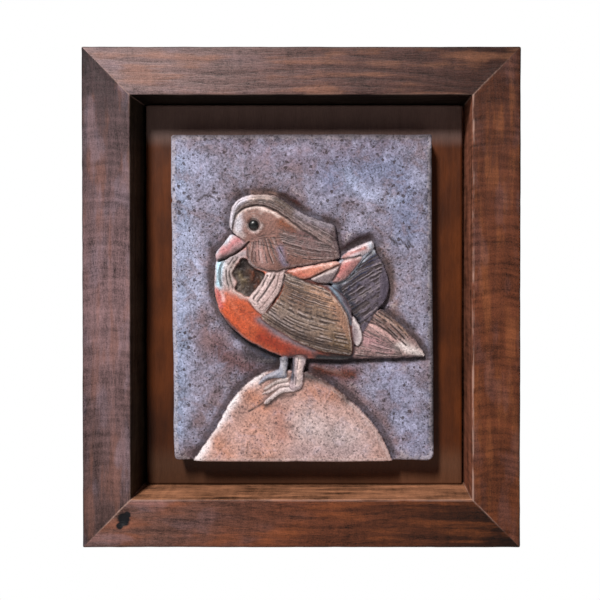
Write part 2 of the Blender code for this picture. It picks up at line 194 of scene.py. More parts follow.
def buildStudio():
    scene = bpy.context.scene
    scene.view_settings.view_transform = "Standard"
    lens = bpy.data.cameras.new("photoCamera")
    lens.lens = studio["lens"]
    lens.sensor_width = 36.0
    lens.shift_x, lens.shift_y = studio["shift"]
    camera = bpy.data.objects.new("photoCamera", lens)
    camera.location = studio["cameraPlace"]
    camera.rotation_euler = (studio["cameraTilt"], 0.0, 0.0)
    scene.collection.objects.link(camera)
    scene.camera = camera

    middle = (cadLow + cadHigh) / 2
    towards = Vector(studio["keyFrom"]).normalized()
    lamp = bpy.data.lights.new("keyLight", "AREA")
    lamp.shape = "ELLIPSE"
    lamp.size, lamp.size_y = studio["keySize"]
    lamp.energy = studio["keyPower"]
    lamp.color = studio["keyColour"]
    key = bpy.data.objects.new("keyLight", lamp)
    key.location = middle + towards * studio["keyDistance"]
    key.rotation_euler = towards.to_track_quat("Z", "Y").to_euler()
    scene.collection.objects.link(key)

    world = bpy.data.worlds.new("paperWhite")
    world.use_nodes = True
    scene.world = world
    graph = Graph(world.node_tree)
    sky = world.node_tree.nodes["Background"]
    sky.inputs["Color"].default_value = (1.0, 1.0, 1.0, 1.0)
    seen = graph.add("ShaderNodeLightPath", {}, {}, "Is Camera Ray")
    graph.feed(sky.inputs["Strength"], seen * (1.0 - studio["fill"]) + studio["fill"])

    floorMesh = bpy.data.meshes.new("paleFloor")
    level = cadLow.z - studio["floorDrop"]
    side, front, back = studio["floorReach"]
    corners = [(-side, front), (side, front), (side, back), (-side, back)]
    floorMesh.from_pydata([(x, y, level) for x, y in corners], [], [(0, 1, 2, 3)])
    floor = bpy.data.objects.new("paleFloor", floorMesh)
    pale, graph, shader = newMaterial("palePaper", {"Base Color": studio["floorColour"], "Roughness": 0.9})
    floorMesh.materials.append(pale)
    scene.collection.objects.link(floor)


# Shared shapes: smooth curves, distances and soft noise

def smoothStep(share):
    share = np.clip(share, 0.0, 1.0)
    return share * share * (3 - 2 * share)


def softHills(points, size, seed):
    # Smooth hills and hollows of about the given size, from -1 to 1
    heights = np.random.default_rng(seed).uniform(-1.0, 1.0, (97, 97))
    place = points / size + 500
    corner = np.floor(place).astype(int)
    share = smoothStep(place - corner)
    i, j = corner.T % 97
    k, m = (i + 1) % 97, (j + 1) % 97
    left = heights[i, j] * (1 - share[:, 1]) + heights[i, m] * share[:, 1]
    right = heights[k, j] * (1 - share[:, 1]) + heights[k, m] * share[:, 1]
    return left * (1 - share[:, 0]) + right * share[:, 0]


def linkObject(name, mesh):
    shape = bpy.data.objects.new(name, mesh)
    bpy.context.scene.collection.objects.link(shape)
    return shape


# The frame: four mitred members of stained pine, with worn arrises

pine = {
    "width": 0.031,
    "ledgeWidth": 0.012,
    "ledgeThickness": 0.006,
    "arris": 0.0012,
    "cornerRadius": 0.0017,
    "mitreGap": 0.00003,
    "wear": 0.00022,
    "step": 0.0016,
    "endCuts": (0.0, 0.0003, 0.0007, 0.0012, 0.0018, 0.0026, 0.0036, 0.0048),
    "ringSpacing": 0.0036,
    "pithDepth": 0.020,
    "shine": 0.18,
    # Pale of the bare arris and the mitres' glue, with a painted highlight where the eased edges catch
    # light; grey of dust and painted sheen
    "glueWearAndHighlightColour": paint(178, 146, 134),
    "dustAndSheenColour": paint(112, 98, 108),
    "knotColour": paint(17, 17, 21),
    "clearMitre": ("frame_bottom_rail", "frame_left_stile"),
}
knot = {
    "spots": (((0.0258, 0.0180), (0.0038, 0.0042)), ((0.0280, 0.0212), (0.0021, 0.0020)),
              ((0.0232, 0.0140), (0.0021, 0.0021))),
    "depth": 0.0014,
}
# Each member's colour runs from its left or lower end over the middle to the other end: stain, and painted
# light as well, lighter and greyer at the upper left and darker towards the right and the bottom. Inner is
# the colour of the side towards the recess, painted shade on the top and left walls and painted light on the
# bottom and right walls. Warm streaks lie over the stain, and grey patches of dust and painted sheen;
# streaky says how strong the grain is, rippled how strong the waves across it are, and rubbed how bare the
# inner edge is, which is also a painted highlight.
members = {
    "frame_top_rail": {
        "start": paint(130, 107, 106), "middle": paint(90, 64, 60), "end": paint(44, 20, 11),
        "inner": paint(20, 13, 9), "warm": paint(112, 74, 54), "warmth": 0.45, "dustAndSheenAmount": 0.4,
        "streaky": 0.95, "rippled": 0.7, "rubbed": 0.15, "seed": 3.1},
    "frame_bottom_rail": {
        "start": paint(103, 74, 67), "middle": paint(92, 49, 31), "end": paint(18, 4, 0),
        "inner": paint(138, 94, 69), "warm": paint(116, 62, 32), "warmth": 0.36, "dustAndSheenAmount": 0.3,
        "streaky": 1.1, "rippled": 0.9, "rubbed": 0.25, "seed": 8.4},
    "frame_left_stile": {
        "start": paint(71, 52, 49), "middle": paint(120, 94, 96), "end": paint(47, 35, 37),
        "inner": paint(52, 42, 33), "warm": paint(96, 62, 50), "warmth": 0.5, "dustAndSheenAmount": 0.4,
        "streaky": 0.8, "rippled": 1.5, "rubbed": 0.1, "seed": 5.7},
    "frame_right_stile": {
        "start": paint(87, 45, 25), "middle": paint(92, 49, 31), "end": paint(66, 37, 27),
        "inner": paint(126, 78, 60), "warm": paint(116, 68, 38), "warmth": 0.35, "dustAndSheenAmount": 0.1,
        "streaky": 0.4, "rippled": 2.2, "rubbed": 0.6, "seed": 1.9},
}


def memberPlace(name, along, inward, out):
    # A point of a member: along it, inward from its outer edge, and out from the wall
    low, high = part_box(name)
    if name == "frame_top_rail":
        return low.x + along, -out, high.z - inward
    if name == "frame_bottom_rail":
        return low.x + along, -out, low.z + inward
    if name == "frame_left_stile":
        return low.x + inward, -out, low.z + along
    return high.x - inward, -out, low.z + along


def memberSection(depth):
    # Round the member from the outer back corner: the points, inward and out
    width, ledge, r = pine["width"], pine["ledgeThickness"], pine["arris"]
    turn = np.radians(np.linspace(0, 90, 7))
    outer = np.column_stack([r - r * np.cos(turn), depth - r + r * np.sin(turn)])
    inner = np.column_stack([width - r + r * np.sin(turn), depth - r + r * np.cos(turn)])
    rest = [(width, ledge), (width + pine["ledgeWidth"], ledge), (width + pine["ledgeWidth"], 0.0)]
    corners = np.vstack([[(0.0, 0.0)], outer, inner, rest])
    points = []
    for start, end in zip(corners, np.roll(corners, -1, axis=0)):
        parts = max(1, round(float(np.hypot(*(end - start))) / 0.0012))
        points += [start + (end - start) * i / parts for i in range(parts)]
    return np.array(points)


def rubEdges(name, along, inward, out, length, depth):
    # Wear the long edges and the face a little, away from the mitres, and never outwards
    seed = len(name)
    front = out > depth - 0.0015
    fromMitre = np.minimum(along, length - along) - inward
    free = smoothStep(fromMitre / 0.006) * smoothStep((out - depth + 0.012) / 0.008)
    sway = softHills(np.column_stack([along, out * 3]), 0.021, seed)
    sway += 0.6 * softHills(np.column_stack([along, out]), 0.006, seed + 1)
    byEdge = np.minimum(inward, np.abs(pine["width"] - inward)) < 0.0022
    rubbed = pine["wear"] * np.clip(0.4 + 0.6 * sway, 0.0, None) * free * byEdge
    inward = inward + np.where(inward < 0.010, rubbed, -rubbed)
    hill = softHills(np.column_stack([along, inward * 2.5]), 0.017, seed + 2)
    hill += 0.5 * softHills(np.column_stack([along, inward]), 0.004, seed + 3)
    return inward, out - pine["wear"] * 0.4 * np.clip(1 + hill, 0.0, None) * free * front


def sinkKnot(along, inward, out, depth):
    (x, y), (width, height) = knot["spots"][0]
    pit = smoothStep(1.35 - np.hypot((along - x) / width, (inward - y) / height))
    return out - knot["depth"] * pit * (out > depth - 0.0015)


def roundCorners(along, inward, length):
    # The frame's outer corners, rounded in plan
    radius = pine["cornerRadius"]
    fromEnd = np.minimum(along, length - along)
    reach = np.hypot(fromEnd - radius, inward - radius)
    rounded = (fromEnd < radius) & (inward < radius) & (reach > radius)
    pull = np.where(rounded, radius / np.maximum(reach, 1e-9), 1.0)
    moved = radius + (fromEnd - radius) * pull
    along = np.where(rounded, np.where(along < length / 2, moved, length - moved), along)
    return along, np.where(rounded, radius + (inward - radius) * pull, inward)


def sweptMesh(name, places, size, cuts):
    # A closed mesh through equal rings of points, with its faces pointing out
    count = size * cuts
    faces = [tuple(range(size)), tuple(count - 1 - i for i in range(size))]
    for k in range(0, count - size, size):
        for i in range(size):
            j = (i + 1) % size
            faces.append((k + i, k + j, k + size + j, k + size + i))
    mesh = bpy.data.meshes.new(name)
    mesh.from_pydata(places.tolist(), [], faces)
    body = bmesh.new()
    body.from_mesh(mesh)
    bmesh.ops.recalc_face_normals(body, faces=body.faces)
    body.to_mesh(mesh)
    body.free()
    mesh.shade_smooth()
    mesh.set_sharp_from_angle(angle=math.radians(35))
    return mesh


def memberMesh(name):
    low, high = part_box(name)
    upright = "stile" in name
    length = (cadHigh.z - cadLow.z) if upright else (cadHigh.x - cadLow.x)
    offset = (low.z - cadLow.z) if upright else (low.x - cadLow.x)
    depth = high.y - low.y
    section = memberSection(depth)
    ends = np.array(pine["endCuts"])
    middle = np.linspace(0.0062, length - 0.0062, round(length / pine["step"]))
    shares = np.concatenate([ends, middle, length - ends[::-1]]) / length

    inward = np.tile(section[:, 0], len(shares))
    out = np.tile(section[:, 1], len(shares))
    first = inward + pine["mitreGap"]
    along = first + (length - 2 * first) * np.repeat(shares, len(section))
    inward, out = rubEdges(name, along, inward, out, length, depth)
    if name == "frame_bottom_rail":
        out = sinkKnot(along - offset, inward, out, depth)
    along, inward = roundCorners(along, inward, length)
    places = np.column_stack(memberPlace(name, along - offset, inward, out))
    return sweptMesh(name + "Wood", places, len(section), len(shares))


def woodGrain(graph, along, across, depth, seed, spacing):
    # Growth rings around a pith behind the face, bands, fibres and pores, and cloudy stain
    def streaks(length, width, detail=2.0, roughness=0.5):
        place = graph.join(along / length + seed, across / width, depth / width)
        return graph.noise(place, 1.0, detail, roughness)

    level = across + (streaks(0.16, 0.11) - 0.5) * 0.040 + (streaks(0.035, 0.016) - 0.5) * 0.0022
    radius = (level * level + (depth - pine["pithDepth"]) ** 2.0) ** 0.5
    ring = graph.add("ShaderNodeMath", {"operation": "FRACT"}, {0: radius / spacing + seed})
    late = graph.step(ring, 0.35, 0.88) - graph.step(ring, 0.90, 1.0)
    band = streaks(0.062, 0.0044, 3.0, 0.5)
    fibre = streaks(0.016, 0.0012, 3.0, 0.6)
    pore = streaks(0.0045, 0.00055, 2.0)
    cloud = streaks(0.030, 0.014, 3.0)
    return late, band, fibre, pore, cloud


def stainedPineWithPaintedLight(name):
    look = members[name]
    low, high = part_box(name)
    upright = "stile" in name
    material, graph, shader = newMaterial(name + "Stain", {"Specular IOR Level": pine["shine"]})
    x, y, z = graph.split(graph.add("ShaderNodeTexCoord", {}, {}, "Object"))
    along, across = (z, x) if upright else (x, z)
    first, last = (cadLow.z, cadHigh.z) if upright else (cadLow.x, cadHigh.x)
    outer = {"frame_top_rail": high.z, "frame_bottom_rail": low.z,
             "frame_left_stile": low.x, "frame_right_stile": high.x}[name]
    inward = outer - across if name in ("frame_top_rail", "frame_right_stile") else across - outer
    out = high.y - y
    grain = woodGrain(graph, along, inward, out, look["seed"], pine["ringSpacing"])
    late, band, fibre, pore, cloud = grain

    # Stain along the member, which also carries painted light: lighter and greyer at the upper left, darker
    # towards the right and the bottom
    share = (along - first) / (last - first) + (cloud - 0.5) * 0.35
    stops = [(0.0, look["start"]), (0.5, look["middle"]), (1.0, look["end"])]
    colour = graph.add("ShaderNodeValToRGB", {"stops": stops}, {0: share})
    warm = graph.step(band + (cloud - 0.5) * 0.9, 0.48, 0.70) * look["warmth"]
    colour = graph.blend(warm, colour, look["warm"])
    # Grey patches of dust and painted sheen, fading out along the rails towards their right ends
    mist = graph.noise(graph.join(along / 0.034 + look["seed"], inward / 0.013, out / 0.02), 1.0, 3.0)
    dustAndSheenFade = graph.step(along - first, (last - first) * 0.62, 0.0) if not upright else 1.0
    dustAndSheen = graph.step(mist, 0.50, 0.64) * dustAndSheenFade * look["dustAndSheenAmount"]
    colour = graph.blend(dustAndSheen, colour, pine["dustAndSheenColour"])
    # The side towards the recess takes the inner colour: painted shade on the top and left walls, painted
    # light on the bottom and right walls
    side = graph.step(inward, pine["width"] - 0.0007, pine["width"] - 0.0002)
    colour = graph.blend(side, colour, look["inner"])

    arc = along + (inward - 0.016) * (inward - 0.016) * 9.0 + (cloud - 0.5) * 0.004
    ripple = graph.noise(graph.join(arc * 300.0, across * 38.0 + look["seed"], out * 38.0), 1.0, 2.0)
    speck = graph.noise(graph.join(x, y, z), 1400.0, 2.0, 0.6)
    streak = (band - 0.5) * 1.3 + (fibre - 0.5) * 0.8 + (pore - 0.5) * 1.3 - late * 0.2
    tone = 1.04 + streak * look["streaky"] + (ripple - 0.5) * 0.8 * look["rippled"]
    tone = tone + (cloud - 0.5) * 1.35 + (speck - 0.5) * 1.6
    tone = tone + side * ((cloud - 0.5) * 1.4 + (band - 0.5) * 1.2)
    colour = graph.brighten(colour, tone)
    fromEnds = (along - first, last - along)
    colour = rubbedAndHighlightedEdges(graph, name, colour, fromEnds, inward, out, high.y - low.y, grain)
    if name == "frame_bottom_rail":
        colour = darkKnot(graph, colour, along - low.x, inward, out, fibre)

    height = (band * 0.5 + fibre * 0.6 + pore * 0.45 - late * 0.25) * look["streaky"]
    height = height + ripple * 0.3 * look["rippled"] + speck * 0.2
    bump = graph.add("ShaderNodeBump", {}, {"Strength": 0.6, "Distance": 0.0005, "Height": height})
    graph.feed(shader.inputs["Base Color"], colour)
    graph.feed(shader.inputs["Roughness"], 0.42 + fibre * 0.14 + late * 0.06)
    graph.feed(shader.inputs["Normal"], bump)
    return material


def rubbedAndHighlightedEdges(graph, name, colour, fromEnds, inward, out, depth, grain):
    # The bare inner arris, pale as a painted highlight too, the pale glue line of the mitres with a painted
    # highlight on it, and the darker outer edge
    late, band, fibre, pore, cloud = grain
    length = cadHigh.z - cadLow.z if "stile" in name else cadHigh.x - cadLow.x
    wearAndHighlight = graph.step(cloud + (fibre - 0.5) * 0.8, 0.38, 0.60)
    absolute = {"operation": "ABSOLUTE"}
    # Pale inner arris: bare wood and a painted highlight
    fromArris = graph.add("ShaderNodeMath", absolute, {0: inward - (pine["width"] - 0.0006)})
    front = graph.step(out, depth - 0.0016, depth - 0.0006)
    arris = graph.step(fromArris, 0.0010, 0.0003) * front * wearAndHighlight
    colour = graph.blend(arris * members[name]["rubbed"], colour, pine["glueWearAndHighlightColour"])

    # Pale mitre line: glue and a painted highlight, strongest at the lower left corner
    gaps = [graph.add("ShaderNodeMath", absolute, {0: end - inward}) for end in fromEnds]
    fromMitre = graph.add("ShaderNodeMath", {"operation": "MINIMUM"}, {0: gaps[0], 1: gaps[1]})
    reach = graph.step(inward, 0.006, 0.022, 0.1, 1.0)
    clear = 0.4
    if name in pine["clearMitre"]:
        clear = graph.step(fromEnds[0], length * 0.3, 0.0, 0.4, 1.0)
    mitre = graph.step(fromMitre, 0.0010, 0.0003) * reach * (0.4 + wearAndHighlight * 0.6) * clear
    colour = graph.blend(mitre, colour, pine["glueWearAndHighlightColour"])

    edge = graph.step(inward, 0.0050, 0.0006) * graph.step(cloud, 0.35, 0.62) * 0.35
    edge = edge + graph.step(inward, 0.0014, 0.0004) * graph.step(out, depth - 0.004, depth - 0.0005) * 0.4
    return graph.brighten(colour, 1.0 - edge)


def darkKnot(graph, colour, along, inward, out, fibre):
    front = graph.step(out, 0.028, 0.040)
    for (x, y), (width, height) in knot["spots"]:
        sideways = (along - x) / width
        upwards = (inward - y) / height
        distance = (sideways * sideways + upwards * upwards) ** 0.5 + (fibre - 0.5) * 0.8
        colour = graph.blend(graph.step(distance, 1.3, 0.8) * front, colour, pine["knotColour"])
    return colour


# The backing board keeps the solid's mesh

boardFinish = {
    "light": paint(93, 46, 18),
    "dark": paint(57, 27, 13),
    # Paler, greyer board in the strips above and below the tile, where the rail and the tile cast shadows:
    # painted sheen
    "paintedSheenAboveTile": paint(118, 93, 86),
    "paintedSheenBelowTile": paint(93, 60, 42),
    "ringSpacing": 0.009,
    "seed": 12.3,
}


def stainedBoardWithPaintedLight():
    material, graph, shader = newMaterial("boardStain", {"Specular IOR Level": 0.2})
    x, y, z = graph.split(graph.add("ShaderNodeTexCoord", {}, {}, "Object"))
    grain = woodGrain(graph, z, x, y, boardFinish["seed"], boardFinish["ringSpacing"])
    late, band, fibre, pore, cloud = grain
    light = graph.step(cloud * 0.8 + band * 0.2, 0.20, 0.80)
    colour = graph.blend(light, boardFinish["dark"], boardFinish["light"])
    # Painted sheen: paler, greyer board in the shadowed strips above and below the tile
    sheenOverTile = graph.step(z, tileHigh.z - 0.008, tileHigh.z + 0.004)
    sheenUnderTile = graph.step(z, tileLow.z + 0.010, tileLow.z - 0.008)
    colour = graph.blend(sheenOverTile, colour, boardFinish["paintedSheenAboveTile"])
    colour = graph.blend(sheenUnderTile, colour, boardFinish["paintedSheenBelowTile"])
    tone = 1.0 + (band - 0.5) * 0.3 + (fibre - 0.5) * 0.3 + (pore - 0.5) * 0.5 - late * 0.05
    # Painted shade: the board darker towards its lower left
    paintedShadeLowLeft = graph.step(x, 0.04, tileLow.x) * graph.step(z, tileLow.z + 0.06, tileLow.z + 0.005)
    colour = graph.brighten(colour, tone * (1.0 - paintedShadeLowLeft * 0.4))
    relief = {"Strength": 0.3, "Distance": 0.0003, "Height": fibre + pore * 0.4}
    bump = graph.add("ShaderNodeBump", {}, relief)
    graph.feed(shader.inputs["Base Color"], colour)
    graph.feed(shader.inputs["Roughness"], 0.36 + fibre * 0.12)
    graph.feed(shader.inputs["Normal"], bump)
    return material


def buildFrame():
    for name in members:
        mesh = memberMesh(name)
        mesh.materials.append(stainedPineWithPaintedLight(name))
        shape = linkObject(name + "Wood", mesh)
        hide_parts(name)
        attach(shape, "root")
    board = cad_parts["backing_board"].data.materials
    board.clear()
    board.append(stainedBoardWithPaintedLight())
    print("built the frame's members and stained the board")


# The tile. It is drawn on a grid of square cells: rows count up from the tile's lower edge to the top
# of the crest, and columns count from its middle.

tile = {
    "width": 0.171,
    "height": tileHigh.z - tileLow.z,
    "thickness": 0.0177,
    "lean": 0.0018,
    "arris": 0.0015,
    "corners": (0.0033, 0.0052, 0.0013, 0.0026),
    "cell": 0.175 / 267,
    "relief": 0.0065,
    "edge": 0.0011,
    "hollowDepth": 0.0022,
    "hollowWidth": 0.0070,
    "eyePlace": (-47.5, 236),
    "eyeRadius": 0.0035,
    "eyeHeight": 0.0018,
    "lidDepth": 0.0006,
    "birdStep": 0.00043,
    "rockStep": 0.00075,
    "groundStep": 0.00105,
    "outlineStep": 0.0005,
    "grooveWidth": 0.0011,
    "hillSizes": ((0.016, 0.00032), (0.0055, 0.00016), (0.0022, 0.00007)),
    "ridgeHeight": 0.00022,
    "groundShine": 0.12,
    "sideShine": 0.05,
    "washReach": 2.6,
}
# The clay's colours: halo is the oxide round the figure, contact the dark line that touches it, oxide in the
# crease and painted shade, and worn the pale of worn glaze on the ridges and a painted highlight
clay = {
    "ground": paint(131, 125, 143),
    "halo": paint(104, 82, 84),
    "creaseOxideAndShade": paint(58, 42, 42),
    "eye": paint(12, 12, 14),
    "sides": paint(128, 112, 112),
    "warm": paint(112, 88, 88),
    "cool": paint(158, 160, 186),
    "wearAndHighlight": paint(226, 212, 212),
    "pale": paint(200, 184, 184),
    "groove": paint(46, 33, 33),
    "pit": paint(56, 44, 48),
    "pores": ((300.0, 0.62), (560.0, 0.60)),
}

# Raised forms, from the lowest to the one on top: the height at the edge, what the middle adds to it
# (both as shares of the relief), the cells that this takes, the colour, the shine, and the outline
crestLine = [(-69, 229), (-67, 241), (-61, 250), (-47, 255), (-31, 252.5), (-15, 243), (0, 232), (15, 222.5)]
forms = {
    "rock": (0.20, 0.24, 12, paint(182, 143, 134), 0.5, [
        (-110, 0), (-95, 21), (-82, 41), (-71, 61), (-52, 81), (-35, 90), (-22, 91.5), (4, 89.5),
        (28, 77), (46, 62.5), (67, 42), (82, 19), (90, 1), (96, -14), (-119, -14)]),
    "tail": (0.25, 0.25, 10, paint(134, 106, 104), 0.35, [
        (50, 104), (78, 103.5), (98, 104), (116, 105), (122, 107), (112, 122), (98, 137), (84, 148.5),
        (76, 152), (67, 142), (59, 130), (53, 116)]),
    "fan": (0.34, 0.22, 12, paint(88, 78, 91), 0.35, [
        (69, 214), (76, 205), (81, 196), (85, 184), (86, 174), (84, 164), (77, 154), (70, 145), (60, 129),
        (56, 140), (47, 152), (38, 164), (29, 176), (38, 180), (49, 188), (60, 201)]),
    "body": (0.34, 0.34, 22, paint(175, 77, 43), 0.6, [
        (-86, 199), (-87.5, 181), (-86, 163), (-81, 148), (-71, 135), (-56, 122.5), (-32, 110),
        (-12, 103.5), (13, 103), (48, 103.5), (52, 125), (46, 158), (28, 176), (-12, 196), (-32, 216),
        (-62, 222), (-80, 206)]),
    "throatHollow": (0.40, -0.20, 9, paint(58, 43, 36), 0.45, [
        (-58, 203), (-50, 199), (-46, 193), (-37, 188), (-39, 179), (-45, 171), (-53, 165), (-60, 168),
        (-66, 172), (-65, 180), (-69, 187), (-66, 194), (-62, 200)]),
    "sailBed": (0.50, 0.05, 3, paint(142, 146, 160), 0.45, [
        (6, 184), (20, 178.5), (35, 178), (45, 183), (54, 192.5), (62, 203), (71, 213), (70.5, 219),
        (59, 216),
        (48, 210), (38, 202), (34, 198), (20, 196), (8, 193)]),
    "upperSail": (0.60, 0.16, 4, paint(204, 188, 195), 0.6, [
        (38, 203), (43, 208.5), (48, 212), (60, 217.5), (69.5, 220.5), (70, 213), (60, 206), (50, 202)]),
    "middleSail": (0.58, 0.14, 4, paint(114, 99, 102), 0.5, [
        (9, 183), (22, 190.5), (35, 196), (38, 191), (31, 181), (19, 178)]),
    "longSail": (0.64, 0.18, 5, paint(181, 112, 93), 0.6, [
        (-15, 189.5), (-6, 193.5), (9, 196), (24, 199.5), (35, 200), (37, 196), (24, 190), (10, 184),
        (-2, 182.5)]),
    "lowerSail": (0.66, 0.18, 5, paint(152, 105, 104), 0.6, [
        (30, 180), (35, 189), (39, 199), (50, 204.5), (59, 203.5), (51, 192), (43, 183), (36, 179.5)]),
    "crescent": (0.56, 0.16, 4, paint(154, 139, 143), 0.6, [
        (50, 145), (55, 140), (59, 129), (59, 121), (55, 116), (51, 120), (49.5, 131)]),
    "wing": (0.78, 0.22, 16, paint(120, 97, 82), 0.4, [
        (-16, 188), (4, 180), (23, 173), (34, 163), (44, 148), (48.5, 129), (49.5, 109), (38, 108),
        (13, 113), (-17, 128), (-40, 144.5), (-34, 151), (-24, 163), (-18, 175)]),
    "collar": (0.76, 0.16, 6, paint(205, 180, 178), 0.45, [
        (-34, 190), (-38, 183), (-45, 173), (-53, 164), (-50, 158), (-39, 148), (-29, 160), (-21, 171),
        (-17, 182), (-17, 192), (-25, 196)]),
    "crest": (0.48, 0.30, 6, paint(122, 100, 98), 0.5, [
        (-71, 231), (-72, 241), (-70, 254), (-61, 263), (-42, 266.5), (-24, 263), (-2, 249), (18, 240.5),
        (32, 235), (34, 224), (37, 208), (34, 202), (8, 196), (-12, 193), (-25, 189), (-42, 191.5),
        (-53, 198), (-55, 212), (-60, 222)]),
    "face": (0.68, 0.32, 18, paint(121, 86, 78), 0.5, crestLine + [
        (27, 216), (34, 210), (35, 205), (22, 201.5), (8, 198.5), (-12, 195.5), (-26, 191.5), (-42, 194),
        (-50, 200), (-53, 213), (-60, 222)]),
    "beak": (0.62, 0.30, 7, paint(186, 149, 153), 0.65, [
        (-70.5, 226), (-78.5, 217), (-84.5, 209.5), (-86, 204.5), (-83.5, 200), (-76, 203), (-62, 211),
        (-55, 216), (-60, 222.5)]),
    "innerToe": (0.48, 0.12, 3, paint(172, 155, 152), 0.5, [
        (-14, 85), (-26, 82), (-38, 73.5), (-35, 72.5), (-26, 77.5), (-15, 80.5)]),
    "middleToe": (0.50, 0.14, 3, paint(188, 166, 164), 0.5, [
        (-10, 80.5), (-21, 79.5), (-31, 74), (-40, 68), (-32, 69.5), (-21, 75), (-11, 76.5)]),
    "leftLeg": (0.46, 0.22, 4, paint(148, 150, 167), 0.5, [
        (-22, 104.5), (-14, 104.5), (-15, 91), (-17, 84), (-30, 84), (-43, 78), (-38, 86), (-28, 91),
        (-23, 94)]),
    "outerToe": (0.54, 0.14, 3, paint(190, 172, 172), 0.5, [
        (-4, 77), (-20, 75), (-29, 69), (-38, 60), (-34, 58.5), (-25, 66), (-18, 70), (-6, 71.5)]),
    "rightLeg": (0.56, 0.22, 5, paint(176, 155, 160), 0.5, [
        (-8.5, 104.5), (3.5, 104.5), (1.5, 91), (0, 76), (-8, 71.5), (-12.5, 77), (-10.5, 91)]),
}

# Single grooves: their depth as a share of the relief, and their course
grooves = {
    "underCrest": (0.18, crestLine[:6]),
    "crestEnd": (0.08, crestLine[5:]),
    "mouth": (0.28, [(-52, 219), (-61, 211), (-72, 204.5), (-82, 200.5)]),
    "collar": (0.18, [(-26, 188), (-32, 176), (-44, 160)]),
    "collarFront": (0.12, [(-34, 186), (-40, 175), (-48, 163)]),
    "wingFront": (0.20, [(-17, 186), (-21, 171), (-34, 150)]),
    "longSail": (0.14, [(8, 183), (22, 190), (36, 196.5)]),
    "lowerSail": (0.10, [(30.5, 181), (35, 189), (38.5, 198)]),
    "upperSail": (0.10, [(39, 202.5), (49, 203.5), (58, 206)]),
    "underSails": (0.09, [(-14, 187), (-2, 182), (12, 177.5), (22, 177), (34, 179.5)]),
    "tailHalf": (0.10, [(62, 141), (76, 136), (90, 127), (103, 117)]),
    "rockCrack": (0.05, [(-53, 51), (-46, 55), (-39, 59)]),
    "scratchOne": (0.07, [(-104, 260), (-94, 266), (-84, 259)]),
    "scratchTwo": (0.08, [(86, 225), (92, 219), (98, 217)]),
    "scratchThree": (0.07, [(98, 222), (106, 212)]),
    "scratchFour": (0.06, [(104, 222), (110, 214)]),
    "nick": (0.12, [(-89, 268.5), (-85, 268)]),
}
